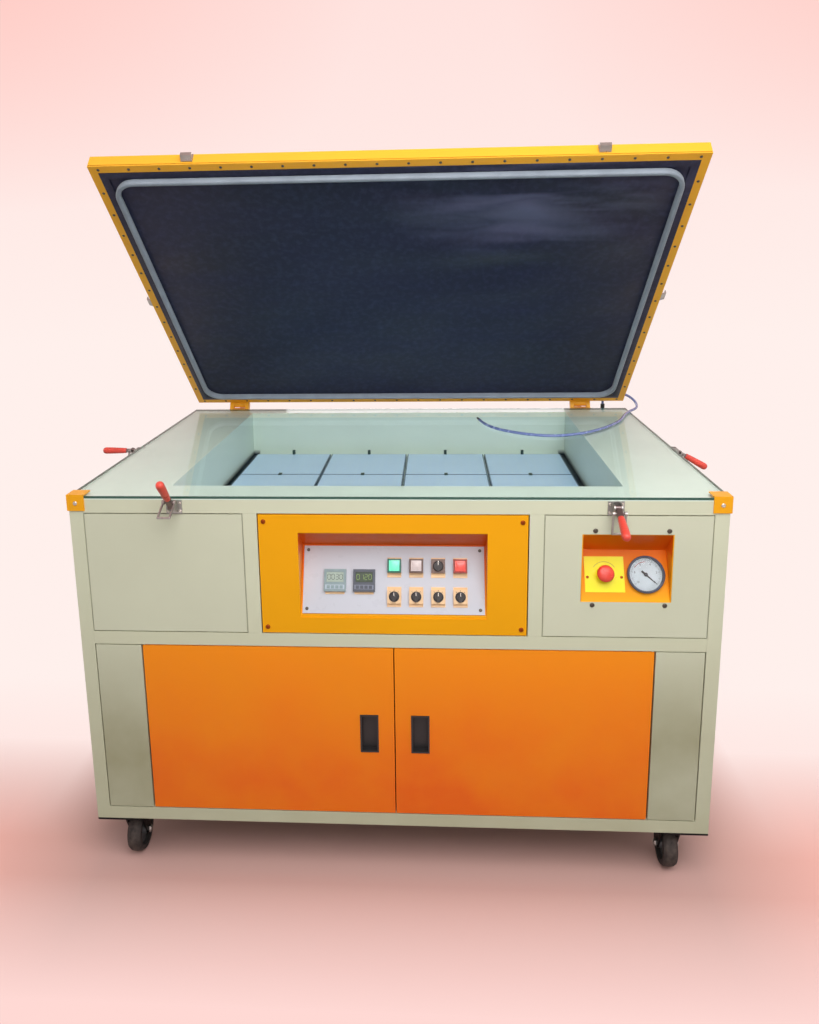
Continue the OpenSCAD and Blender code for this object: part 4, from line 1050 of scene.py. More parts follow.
def turned(name: str, profile: Profile, sides: int = 48, smooth: float = 32.0) -> Piece:
    """Spins a profile round the Z axis.

    Args:
        name: The piece's name.
        profile: Its points as radius and height, from one end of the axis to the other.
        sides: How many steps the spin has.
        smooth: The angle under which edges are shaded smooth, in degrees.

    Returns:
        The closed, turned piece.
    """
    free_selection()
    radius, height = profile[0]
    bpy.ops.mesh.primitive_plane_add(size=SPECK, location=(radius, 0.0, height))
    open_mesh(added(name), "VERT")
    bpy.ops.mesh.merge(type="CENTER")
    for across, up in profile[1:]:
        step = (across - radius, 0.0, up - height)
        bpy.ops.mesh.extrude_region_move(TRANSFORM_OT_translate={"value": step})
        radius, height = across, up
    bpy.ops.mesh.select_all(action="SELECT")
    bpy.ops.mesh.spin(steps=sides, angle=2 * math.pi, center=ORIGIN, axis=UP)
    bpy.ops.mesh.select_all(action="SELECT")
    bpy.ops.mesh.remove_doubles(threshold=MERGE)
    close_mesh()
    bpy.ops.object.shade_smooth_by_angle(angle=math.radians(smooth))
    return bpy.context.object


def ring(name: str, inner: float, outer: float, thick: float, sides: int = 64) -> Piece:
    """Makes a flat ring that lies on the XY plane."""
    profile = ((inner, 0.0), (outer, 0.0), (outer, thick), (inner, thick), (inner, 0.0))
    return turned(name, profile, sides)


def twin(piece: Piece, place: Matrix) -> Piece:
    """Copies a piece with a mesh of its own and puts the copy in its place.

    Args:
        piece: The piece.
        place: Where the copy goes, from the piece.

    Returns:
        The copy.
    """
    copy = piece.copy()
    copy.data = piece.data.copy()
    bpy.context.scene.collection.objects.link(copy)
    copy.data.transform(place)
    return copy


def drop(piece: Piece) -> None:
    """Removes a piece that was only a pattern for others."""
    bpy.data.objects.remove(piece, do_unlink=True)


def weld(name: str, pieces: Sequence[Piece]) -> Piece:
    """Joins pieces into one.

    Args:
        name: The joined piece's name.
        pieces: The pieces.

    Returns:
        The joined piece.
    """
    take(pieces[0])
    for piece in pieces:
        piece.select_set(True)
    bpy.ops.object.join()
    joined = bpy.context.object
    joined.name = name
    return joined


def spread(name: str, master: Piece, places: Sequence[Matrix]) -> Piece:
    """Puts a copy of a pattern in each place, joins them and removes the pattern.

    Args:
        name: The joined piece's name.
        master: The pattern.
        places: Where the copies go.

    Returns:
        The joined piece.
    """
    copies = [twin(master, place) for place in places]
    drop(master)
    return weld(name, copies)


def fit(piece: Piece, finish: Finish, body: str = "root") -> Piece:
    """Dresses a finished piece, lets it ride on a body and reports it.

    Args:
        piece: The piece, in its place.
        finish: Its finish.
        body: The body that carries it.

    Returns:
        The same piece.
    """
    piece.data.materials.clear()
    piece.data.materials.append(finish.make())
    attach(piece, body)
    LOG.info("%s rides on %s", piece.name, body)
    return piece


def at(x: float, y: float, z: float) -> Matrix:
    """Gives a move to a point."""
    return Matrix.Translation((x, y, z))


def turn(degrees: float, axis: str) -> Matrix:
    """Gives a turn about an axis."""
    return Matrix.Rotation(math.radians(degrees), 4, axis)


def lid_turn() -> Matrix:
    """Gives the turn that opens the lid's pieces, which are modelled shut."""
    hinge = Matrix.Translation(HINGE_LINE)
    return hinge @ Matrix.Rotation(-LID_OPEN, 4, "X") @ hinge.inverted()


TO_FRONT: Matrix = turn(90.0, "X")


@dataclass(frozen=True)
class ScrewHead:
    """A small domed socket screw's head that stands on the XY plane."""

    radius: float
    height: float

    def model(self) -> Piece:
        """Turns the head with its socket.

        Returns:
            The head.
        """
        shape = ((0.0, 0.0), (1.0, 0.0), (1.0, 0.45), (0.8, 0.9), (0.5, 1.0), (0.42, 0.45), (0.0, 0.4))
        profile = [(self.radius * across, self.height * up) for across, up in shape]
        return turned("screw_head", profile, sides=14)

    def drive_in(self, name: str, places: Sequence[Matrix], finish: Finish, body: str = "root") -> None:
        """Sets a screw in each place, as one piece.

        Args:
            name: The piece's name.
            places: Where the heads stand.
            finish: Their finish.
            body: The body that carries them.
        """
        fit(spread(name, self.model(), places), finish, body)


STRIP_SCREW = ScrewHead(0.0034, 0.0016)
GUARD_SCREW = ScrewHead(0.0046, 0.0022)
BOX_SCREW = ScrewHead(0.0052, 0.0024)
PLATE_SCREW = ScrewHead(0.0036, 0.0018)
STOP_SCREW = ScrewHead(0.0030, 0.0016)
CLAMP_SCREW = ScrewHead(0.0029, 0.0015)
PANEL_SCREW = ScrewHead(0.0042, 0.0020)


@dataclass(frozen=True)
class Lamp:
    """A square soft lamp: its name, place, side, power in watts and the point it looks at."""

    name: str
    place: Point
    size: float
    power: float
    aim: Point

    def hang(self) -> None:
        """Adds the lamp and turns it to its aim."""
        data = bpy.data.lights.new(self.name, "AREA")
        data.size = self.size
        data.energy = self.power
        lamp = bpy.data.objects.new(self.name, data)
        lamp.location = self.place
        away = Vector(self.aim) - Vector(self.place)
        lamp.rotation_euler = away.to_track_quat("-Z", "Y").to_euler()
        bpy.context.scene.collection.objects.link(lamp)


@dataclass
class Studio:
    """The pale studio, its lamps and the camera at the photograph's angle."""

    camera_place: Point = (0.0973, -2.1567, 1.4214)
    camera_turn: Point = (78.6804, 0.8898, 3.4220)
    sensor: float = 36.0
    lens: float = 28.83
    shift: tuple[float, float] = (0.0222, -0.0963)
    backdrop: Colour = paint(255, 240, 236)
    # Painted shade: the backdrop turns pinker and darker towards the top and the corners.
    backdrop_high: Colour = paint(255, 224, 220)
    backdrop_corner: Colour = paint(255, 204, 197)
    foreground: Colour = paint(255, 217, 212)
    world_light: Colour = (1.0, 0.98, 0.96)
    world_strength: float = 0.42
    ground_size: float = 16.0
    lamps: tuple[Lamp, ...] = (
        Lamp("key", (0.4, -1.7, 2.45), 1.7, 44.0, (0.0, -0.1, 0.8)),
        Lamp("front", (0.2, -3.4, 1.9), 2.0, 12.0, (0.0, 0.0, 0.9)),
        Lamp("left", (-2.8, -0.6, 2.2), 2.0, 8.0, (0.0, 0.0, 0.7)),
        Lamp("right", (2.9, -0.7, 2.4), 2.0, 15.0, (0.0, 0.0, 0.7)),
        Lamp("rear", (0.0, 3.2, 2.3), 2.0, 28.0, (0.0, 0.4, 0.6)),
    )

    def build(self) -> None:
        """Sets up the camera, the ground, the lamps and the world."""
        scene = bpy.context.scene
        scene.view_settings.view_transform = "Standard"
        data = bpy.data.cameras.new("view")
        data.sensor_width = self.sensor
        data.lens = self.lens
        data.shift_x, data.shift_y = self.shift
        camera = bpy.data.objects.new("view", data)
        camera.location = self.camera_place
        camera.rotation_euler = [math.radians(angle) for angle in self.camera_turn]
        scene.collection.objects.link(camera)
        scene.camera = camera
        self.ground()
        for lamp in self.lamps:
            lamp.hang()
        self.sky()

    def ground(self) -> None:
        """Adds the ground, which is not part of the object."""
        free_selection()
        bpy.ops.mesh.primitive_grid_add(x_subdivisions=24, y_subdivisions=24, size=self.ground_size)
        ground = added("ground")
        # The ground's colour is darkened as painted shadow near the cabinet.
        finish = StudioGround("ground", paint(206, 164, 156), back=self.backdrop, near=self.foreground)
        ground.data.materials.append(finish.make())

    def sky(self) -> None:
        """Sets the world: soft light for the object, and for the camera the backdrop's colours, with painted
        shade towards the top and the corners.
        """
        world = bpy.data.worlds.new("studio")
        bpy.context.scene.world = world
        world.use_nodes = True
        sky = Graph(world.node_tree, "Generated")
        aside, _, height = sky.axes()
        tint = sky.mix(sky.span(height, -0.1, 0.34), self.backdrop, self.backdrop_high)
        corner = sky.span(sky.times(sky.calc("ABSOLUTE", aside), height), 0.02, 0.12)
        shown = sky.add("Background", sky.mix(corner, tint, self.backdrop_corner), 1.0)
        soft = sky.nodes["Background"]
        sky.join(self.world_light, soft.inputs[0])
        sky.join(self.world_strength, soft.inputs[1])
        both = sky.add("MixShader", sky.seen(), soft.outputs[0], shown)
        sky.join(both, sky.nodes["World Output"].inputs[0])


@dataclass
class VacuumHose:
    """The blue hose, from the elbow at the back over the glass to its tip."""

    diameter: float = 0.008
    route_mm: tuple[Point, ...] = (
        (640, 532, 912), (640, 532, 924), (645, 532, 936), (657, 532, 944), (676, 530, 948),
        (698, 526, 947), (717, 517, 941), (730, 502, 932), (735, 482, 924), (733, 460, 918),
        (725, 438, 915), (712, 417, 914.3), (697, 395, 914.3), (682, 368, 914.3), (668, 335, 914.3),
        (654, 298, 914.3), (637, 255, 914.3), (614, 214, 914.3), (586, 172, 914.3), (556, 136, 914.3),
        (526, 106, 914.3), (494, 82, 914.3), (460, 64, 914.3), (426, 54, 914.3), (390, 56, 914.3),
        (356, 68, 914.3), (324, 88, 914.3), (293, 114, 914.3), (267, 145, 914.3), (247, 182, 914.3),
        (233, 224, 914.3), (224, 268, 914.3),
    )
    steps: int = 4

    def smooth_route(self) -> list[Vector]:
        """Gives points on the smooth curve through the route, in metres.

        Returns:
            The points, in order.
        """
        points = [Vector(point) / 1000 for point in self.route_mm]
        last = len(points) - 1
        route: list[Vector] = []
        for i in range(last):
            a, b, c, d = (points[max(0, min(last, i + k))] for k in (-1, 0, 1, 2))
            for step in range(self.steps):
                t = step / self.steps
                bend = (2 * a - 5 * b + 4 * c - d) * t * t + (3 * b - a - 3 * c + d) * t * t * t
                route.append(0.5 * (2 * b + (c - a) * t + bend))
        route.append(points[last])
        return route

    def build(self) -> Piece:
        """Returns:
            The hose.
        """
        route = self.smooth_route()
        data = bpy.data.curves.new("hose", "CURVE")
        data.dimensions = "3D"
        data.bevel_depth = self.diameter / 2
        data.bevel_resolution = 4
        data.use_fill_caps = True
        spline = data.splines.new("POLY")
        spline.points.add(len(route) - 1)
        for knot, point in zip(spline.points, route):
            knot.co = (*point, 1.0)
        hose = bpy.data.objects.new("hose", data)
        bpy.context.scene.collection.objects.link(hose)
        data.materials.append(HOSE.make())
        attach(hose, "root")
        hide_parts("vacuum_hose")
        return hose


@dataclass(frozen=True)
class Fold:
    """One of the blanket's soft folds: a short train of waves round a point."""

    x: float
    y: float
    lean: float
    pitch: float
    reach: float
    height: float
    longer: float = 1.6
    twist: float = 7.0

    def rise(self, x: float, y: float) -> float:
        """Gives the fold's height at a point of the blanket.

        Args:
            x: Across the lid, from its middle.
            y: Along the lid, from its middle.

        Returns:
            The height in metres.
        """
        across = (x - self.x) * math.cos(self.lean) + (y - self.y) * math.sin(self.lean)
        along = (y - self.y) * math.cos(self.lean) - (x - self.x) * math.sin(self.lean)
        wave = math.cos(across / self.pitch + self.twist * along)
        fade = -((across / self.reach) ** 2) - (along / (self.reach * self.longer)) ** 2
        return self.height * wave * math.exp(fade)


@dataclass
class VacuumLid:
    """The lid's soft parts and screws, modelled shut and then opened."""

    width: float = 1.395
    rear: float = 0.492
    front: float = -0.530
    strip: float = 0.003
    blanket_inset: float = 0.005
    blanket_thick: float = 0.002
    blanket_cells: tuple[int, int] = (150, 110)
    slack: float = 0.0001
    sag: float = 0.0035
    hold: float = 0.05
    gasket_inset: float = 0.040
    gasket_width: float = 0.011
    gasket_height: float = 0.018
    gasket_radius: float = 0.055
    gasket_round: float = 0.0042
    edge_inset: float = 0.0195
    edge_width: float = 0.0190
    edge_below: float = 0.0008
    edge_thick: float = 0.0010
    edge_round: float = 0.0003
    screw_inset: float = 0.0105
    screw_margin: float = 0.012
    screws_across: int = 20
    screws_along: int = 14
    folds: tuple[Fold, ...] = (
        Fold(0.30, -0.30, 1.35, 0.030, 0.16, 0.0078),
        Fold(0.46, -0.37, 1.75, 0.026, 0.13, 0.0058),
        Fold(0.34, -0.16, 1.20, 0.034, 0.14, 0.0056),
        Fold(0.16, -0.40, 1.60, 0.026, 0.12, 0.0048),
        Fold(0.50, -0.10, 0.90, 0.036, 0.14, 0.0034),
        Fold(-0.35, 0.10, 0.60, 0.050, 0.24, 0.0026),
        Fold(0.05, 0.25, 0.20, 0.055, 0.25, 0.0020),
    )

    def middle(self) -> float:
        """Gives the lid's middle in Y."""
        return (self.rear + self.front) / 2

    def build(self) -> None:
        """Builds every piece of the lid."""
        self.blanket()
        self.gasket()
        self.rubber_edge()
        self.strip_screws()

    def relief(self, x: float, y: float) -> float:
        """Gives how far the blanket stands out of its plane at a point, upwards when shut.

        Args:
            x: Across the lid, from its middle.
            y: Along the lid, from its middle.

        Returns:
            The height in metres.
        """
        half_x = self.width / 2 - self.gasket_inset - self.gasket_width
        half_y = (self.rear - self.front) / 2 - self.gasket_inset - self.gasket_width
        edge = min(1.0, max(0.0, (half_x - abs(x)) / self.hold), max(0.0, (half_y - abs(y)) / self.hold))
        sag = -self.sag * (1 - (x / half_x) ** 2) * (1 - (y / half_y) ** 2)
        return edge * edge * (3 - 2 * edge) * (sag + sum(fold.rise(x, y) for fold in self.folds))

    def blanket(self) -> None:
        """Lays the rubber blanket between the strips and the frame, with its soft folds."""
        wide = self.width - 2 * self.blanket_inset
        long = self.rear - self.front - 2 * self.blanket_inset
        centre = (0.0, self.middle(), LID_BOTTOM + self.strip + self.blanket_thick / 2)
        sheet = flat("blanket", wide, long, centre, self.blanket_cells)
        for vertex in sheet.data.vertices:
            vertex.co.z += self.relief(vertex.co.x, vertex.co.y - self.middle())
        apply(sheet, "SOLIDIFY", thickness=self.blanket_thick - self.slack, offset=0.0)
        bpy.ops.object.shade_smooth_by_angle(angle=math.radians(SMOOTH_UNDER))
        settle(sheet, lid_turn())
        fit(sheet, BLANKET_SHEEN, "lid")
        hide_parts("rubber_blanket")

    def loop(
        self, name: str, inset: float, width: float, low: float, high: float, corner: float = 0.0
    ) -> Piece:
        """Makes a flat loop along the lid's sides.

        Args:
            name: The piece's name.
            inset: How far inside of the lid's sides it lies.
            width: Its width.
            low: The height of its underside.
            high: The height of its top over that.
            corner: The radius of its outer corners.

        Returns:
            The loop, on the shut lid.
        """
        half_x = self.width / 2 - inset
        half_y = (self.rear - self.front) / 2 - inset
        piece = flat(name, 2 * half_x, 2 * half_y, (0.0, self.middle(), low))
        open_mesh(piece, "VERT")
        if corner:
            bpy.ops.mesh.bevel(offset=corner, segments=14, affect="VERTICES")
        bpy.ops.mesh.select_mode(type="FACE")
        bpy.ops.mesh.select_all(action="SELECT")
        bpy.ops.mesh.inset(thickness=width, depth=0.0)
        bpy.ops.mesh.delete(type="FACE")
        bpy.ops.mesh.select_all(action="SELECT")
        bpy.ops.mesh.extrude_region_move(TRANSFORM_OT_translate={"value": (0.0, 0.0, high)})
        close_mesh()
        return piece

    def gasket(self) -> None:
        """Sweeps the soft seal's rounded profile round the lid."""
        low = LID_BOTTOM + self.strip - self.gasket_height
        high = self.gasket_height - 2 * self.slack
        seal = self.loop("gasket", self.gasket_inset, self.gasket_width, low, high, self.gasket_radius)
        soften(seal, self.gasket_round, segments=4, angle=60.0)
        settle(seal, lid_turn())
        fit(seal, FOAM, "lid")
        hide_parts("lid_gasket")
        anchor = lid_turn() @ Vector((0.0, self.middle(), LID_BOTTOM + self.strip))
        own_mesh(seal)

    def rubber_edge(self) -> None:
        """Lays the thin rubber edge that covers the inner half of the strips, which also gives the dark line
        of shade along the gasket.
        """
        low = LID_BOTTOM - self.edge_below
        edge = self.loop("blanket_edge", self.edge_inset, self.edge_width, low, self.edge_thick)
        soften(edge, self.edge_round)
        settle(edge, lid_turn())
        fit(edge, BLANKET_SHEEN, "lid")

    def strip_screws(self) -> None:
        """Sets the screws that hold the strips to the frame."""
        half_x = self.width / 2 - self.screw_inset
        low = LID_BOTTOM + self.slack
        places: list[Matrix] = []
        for i in range(self.screws_across):
            span = 2 * half_x - 2 * self.screw_margin
            x = -half_x + self.screw_margin + i * span / (self.screws_across - 1)
            for y in (self.front + self.screw_inset, self.rear - self.screw_inset):
                places.append(at(x, y, low))
        for i in range(1, self.screws_along):
            span = self.rear - self.front - 2 * self.screw_margin
            y = self.front + self.screw_inset + i * span / self.screws_along
            places += [at(-half_x, y, low), at(half_x, y, low)]
        hanging = [lid_turn() @ place @ turn(180.0, "X") for place in places]
        STRIP_SCREW.drive_in("strip_screws", hanging, SCREW, "lid")


@dataclass
class LightTable:
    """The small fittings in the light chamber and on the glass's corners."""

    board_centres: tuple[float, ...] = (-0.366, -0.122, 0.122, 0.366)
    board_top: float = 0.775
    rear_end: float = 0.398
    rows: tuple[float, ...] = (0.158, -0.086)
    rear_clip: Point = (0.009, 0.006, 0.016)
    rear_clip_middle: Point = (0.0, 0.0, 0.006)
    row_clip: Point = (0.010, 0.016, 0.003)
    guard_x: float = 0.684
    guard_y: float = FRONT - 0.003
    guard_z: float = 0.894

    def build(self) -> None:
        """Stands a clip behind each lamp board, lays one over each gap, and screws on the guards."""
        clip = tile("clip", self.rear_clip, 0.0015, 0.004, 0.0008, centre=self.rear_clip_middle)
        places = [at(x, self.rear_end, self.board_top) for x in self.board_centres]
        fit(spread("board_rear_clips", clip, places), GREEN_CLIP)
        clip = tile("clip", self.row_clip, 0.002, 0.001, 0.0006)
        places = [at(x, y, self.board_top) for x in self.board_centres for y in self.rows]
        fit(spread("board_row_clips", clip, places), GREEN_CLIP)
        places = [at(side * self.guard_x, self.guard_y, self.guard_z) @ TO_FRONT for side in (-1, 1)]
        GUARD_SCREW.drive_in("guard_screws", places, PALE_SCREW)


class Display(Enum):
    """The two kinds of timer display, with the finishes of pane, digits and keys."""

    PALE = (DISPLAY_PALE, DIGIT_DARK, KEY_PALE)
    DARK = (DISPLAY_DARK, DIGIT_GREEN, KEY_GREY)


SEGMENTS: dict[str, str] = {"0": "abcdef", "1": "bc", "2": "abdeg", "3": "abcdg"}


@dataclass
class SlopedPanel:
    """A panel that slopes back from a sill at the cabinet's front."""

    sill: float
    slope: float

    def on_panel(self, x: float, s: float, out: float = 0.0) -> Matrix:
        """Gives the place at x across, s up the slope and out from the panel."""
        return at(0.0, FRONT, self.sill) @ turn(90.0 - self.slope, "X") @ at(x, s, out)


@dataclass
class ControlPanel(SlopedPanel):
    """What is fixed to the control box: screws, legends, lenses, selectors' marks and timer faces."""

    sill: float = 0.635
    slope: float = math.degrees(math.atan2(65.0, 144.0))
    plate_top: float = 0.003
    columns: tuple[float, ...] = (0.002, 0.050, 0.098, 0.146)
    upper: float = 0.112
    lower: float = 0.046
    bezel: float = 0.030
    bezel_top: float = 0.010
    travel: float = 0.0025
    timer_x: tuple[float, float] = (-0.128, -0.064)
    timer_s: float = 0.080
    timer_strip_s: float = 0.0528
    box_screw_x: float = 0.276
    box_screw_z: tuple[float, float] = (0.612, 0.854)
    plate_screw_x: float = 0.189
    plate_screw_s: tuple[float, float] = (0.019, 0.146)
    timer_strip: tuple[float, float] = (0.0420, 0.0052)
    legend_wide: float = 0.031
    legend_long: float = 0.043
    legend_thick: float = 0.0008
    legend_drop: float = 0.0005
    upper_strips: tuple[tuple[float, float], ...] = ((-0.025, -0.0135), (0.0135, 0.018))
    rim_wide: float = 0.0028
    rim_high: float = 0.004
    lens_margin: float = 0.0068
    lens_high: float = 0.0042
    lens_lift: float = 0.0003
    knob_foot: float = 0.0014
    upper_knob: tuple[float, float] = (0.0115, 0.0062)
    lower_knob: tuple[float, float] = (0.0096, 0.0024)
    knob_line: tuple[float, float] = (0.0011, 0.0006)
    knob_top: float = 0.0183
    tick: Point = (0.0009, 0.0026, 0.0003)
    tick_middle: Point = (0.0, 0.0134, 0.0001)
    tick_angles: tuple[float, ...] = (-40.0, 0.0, 40.0)
    display: Point = (0.0374, 0.0214, 0.0008)
    display_middle: Point = (0.0, 0.0070, 0.0094)
    keys: Point = (0.0420, 0.0098, 0.0006)
    keys_middle: Point = (0.0, -0.0145, 0.0113)
    bar: Point = (0.0011, 0.0046, 0.0002)
    digit_half: float = 0.0031
    digit_quarter: float = 0.0028
    digit_pitch: float = 0.0088
    digit_s: float = 0.0072
    digit_out: float = 0.0098

    def build(self) -> None:
        """Builds every piece on the control box."""
        self.screws()
        self.legends()
        self.switch_rims()
        self.lens("lens_green", 0, MINT, "button_green")
        self.lens("lens_white", 1, MILK, "button_white")
        self.lens("lens_red", 3, RED_LENS, "button_red")
        self.knob("selector_upper", self.columns[2], self.upper, *self.upper_knob)
        for i, x in enumerate(self.columns):
            self.knob(f"selector_lower_{i + 1}", x, self.lower, *self.lower_knob)
        self.ticks()
        self.timer_face("left", self.timer_x[0], Display.PALE, "0030")
        self.timer_face("right", self.timer_x[1], Display.DARK, "0120")

    def screws(self) -> None:
        """Sets the box's four screws and the white plate's four."""
        sides = (-self.box_screw_x, self.box_screw_x)
        places = [at(x, FRONT, z) @ TO_FRONT for x in sides for z in self.box_screw_z]
        BOX_SCREW.drive_in("box_screws", places, ORANGE_SCREW)
        sides = (-self.plate_screw_x, self.plate_screw_x)
        places = [self.on_panel(x, s, self.plate_top) for x in sides for s in self.plate_screw_s]
        PLATE_SCREW.drive_in("plate_screws", places, SCREW)

    def legends(self) -> None:
        """Lays a tan legend plate under each switch, split where a button goes in."""
        thick = self.legend_thick
        strip = tile("strip", (*self.timer_strip, thick), 0.0008, 0.0002, 0.0002)
        under = [self.on_panel(x, self.timer_strip_s, self.plate_top) for x in self.timer_x]
        fit(spread("timer_strips", strip, under), TAN)
        plate = tile("legend", (self.legend_wide, self.legend_long, thick), 0.0012, 0.0002, 0.0003)
        middle = self.lower - self.legend_drop
        places = [self.on_panel(x, middle, self.plate_top) for x in self.columns]
        fit(spread("legend_plates_lower", plate, places), TAN)
        parts = []
        for low, high in self.upper_strips:
            centre = (0.0, (low + high) / 2, thick / 2)
            size = (self.legend_wide, high - low, thick)
            parts.append(tile("legend", size, 0.0012, 0.0002, 0.0003, centre=centre))
        places = [self.on_panel(x, self.upper, self.plate_top) for x in self.columns]
        fit(spread("legend_plates_upper", weld("legend", parts), places), TAN)

    def switch_rims(self) -> None:
        """Stands a raised square rim on the bezel of each push button."""
        rim = block("rim", (self.bezel, self.bezel, self.rim_high), (0.0, 0.0, self.rim_high / 2))
        open_frame(rim, self.rim_wide)
        soften(rim, 0.0007)
        stands = (("green", 0, GREEN_RIM), ("white", 1, BROWN_PLASTIC), ("red", 3, RED_RIM))
        for name, column, finish in stands:
            piece = twin(rim, self.on_panel(self.columns[column], self.upper, self.bezel_top))
            piece.name = f"switch_rim_{name}"
            fit(piece, finish)
        drop(rim)

    def lens(self, name: str, column: int, finish: Finish, body: str) -> None:
        """Caps a push button with a square, slightly crowned lens.

        Args:
            name: The piece's name.
            column: The switch's column.
            finish: The lens's colour.
            body: The button's body.
        """
        side = self.bezel - self.lens_margin
        low = self.bezel_top + self.travel + self.lens_lift
        cap = block(name, (side, side, self.lens_high), (0.0, 0.0, self.lens_high / 2))
        sink(cap, 0.0035, -0.0009)
        soften(cap, 0.0009, 3, 12.0)
        settle(cap, self.on_panel(self.columns[column], self.upper, low))
        fit(cap, finish, body)

    def knob(self, body: str, x: float, s: float, radius: float, tall: float) -> None:
        """Puts a knob with a white line on a selector.

        Args:
            body: The selector's body.
            x: Its place across the panel.
            s: Its place up the slope.
            radius: The knob's radius.
            tall: Its height.
        """
        low = self.bezel_top + self.knob_foot
        high = low + tall
        waist = ((radius, low), (radius, low + 0.0014))
        shoulder = ((radius - 0.0012, high - 0.0006), (radius - 0.0020, high))
        skirt = turned(f"{body}_knob", ((0.0, low), *waist, *shoulder, (0.0, high)), sides=36)
        settle(skirt, self.on_panel(x, s))
        fit(skirt, BLACK, body)
        wide, thick = self.knob_line
        line = block(f"{body}_line", (wide, radius * 0.8, thick), (0.0, radius * 0.55, self.knob_top))
        settle(soften(line, 0.0001, 1), self.on_panel(x, s))
        fit(line, PALE_SCREW, body)

    def ticks(self) -> None:
        """Marks the selectors' positions on the lower bezels."""
        mark = soften(block("tick", self.tick, self.tick_middle), 0.0001, 1)
        bezels = [self.on_panel(x, self.lower, self.bezel_top) for x in self.columns]
        places = [bezel @ turn(angle, "Z") for bezel in bezels for angle in self.tick_angles]
        fit(spread("selector_ticks", mark, places), DIAL_INK)

    def digit(self, character: str) -> list[Matrix]:
        """Gives the places of a digit's bars, each a turn and a move of one upright bar.

        Args:
            character: The digit.

        Returns:
            The places.
        """
        half, quarter = self.digit_half, self.digit_quarter
        lying = turn(90.0, "Z")
        bars = {
            "a": at(0.0, 2 * quarter, 0.0) @ lying,
            "b": at(half, quarter, 0.0),
            "c": at(half, -quarter, 0.0),
            "d": at(0.0, -2 * quarter, 0.0) @ lying,
            "e": at(-half, -quarter, 0.0),
            "f": at(-half, quarter, 0.0),
            "g": lying,
        }
        return [bars[key] for key in SEGMENTS[character]]

    def timer_face(self, side: str, x: float, display: Display, digits: str) -> None:
        """Fits a timer's display pane, its digits and its key strip.

        Args:
            side: Which timer, for the pieces' names.
            x: The timer's place across the panel.
            display: Its kind of display.
            digits: The digits that show.
        """
        pane_finish, digit_finish, key_finish = display.value
        face = self.on_panel(x, self.timer_s)
        name = f"timer_{side}_display"
        pane = tile(name, self.display, 0.0008, 0.0002, 0.0002, 1, self.display_middle)
        settle(pane, face)
        fit(pane, pane_finish)
        bar = soften(block("bar", self.bar), 0.0003, 1)
        places = []
        for i, character in enumerate(digits):
            across = x + (i - (len(digits) - 1) / 2) * self.digit_pitch
            centre = self.on_panel(across, self.timer_s + self.digit_s, self.digit_out)
            places += [centre @ place for place in self.digit(character)]
        fit(spread(f"timer_{side}_digits", bar, places), digit_finish)
        keys = tile(f"timer_{side}_strip", self.keys, 0.0007, 0.0001, 0.0002, 1, self.keys_middle)
        settle(keys, face)
        fit(keys, key_finish)


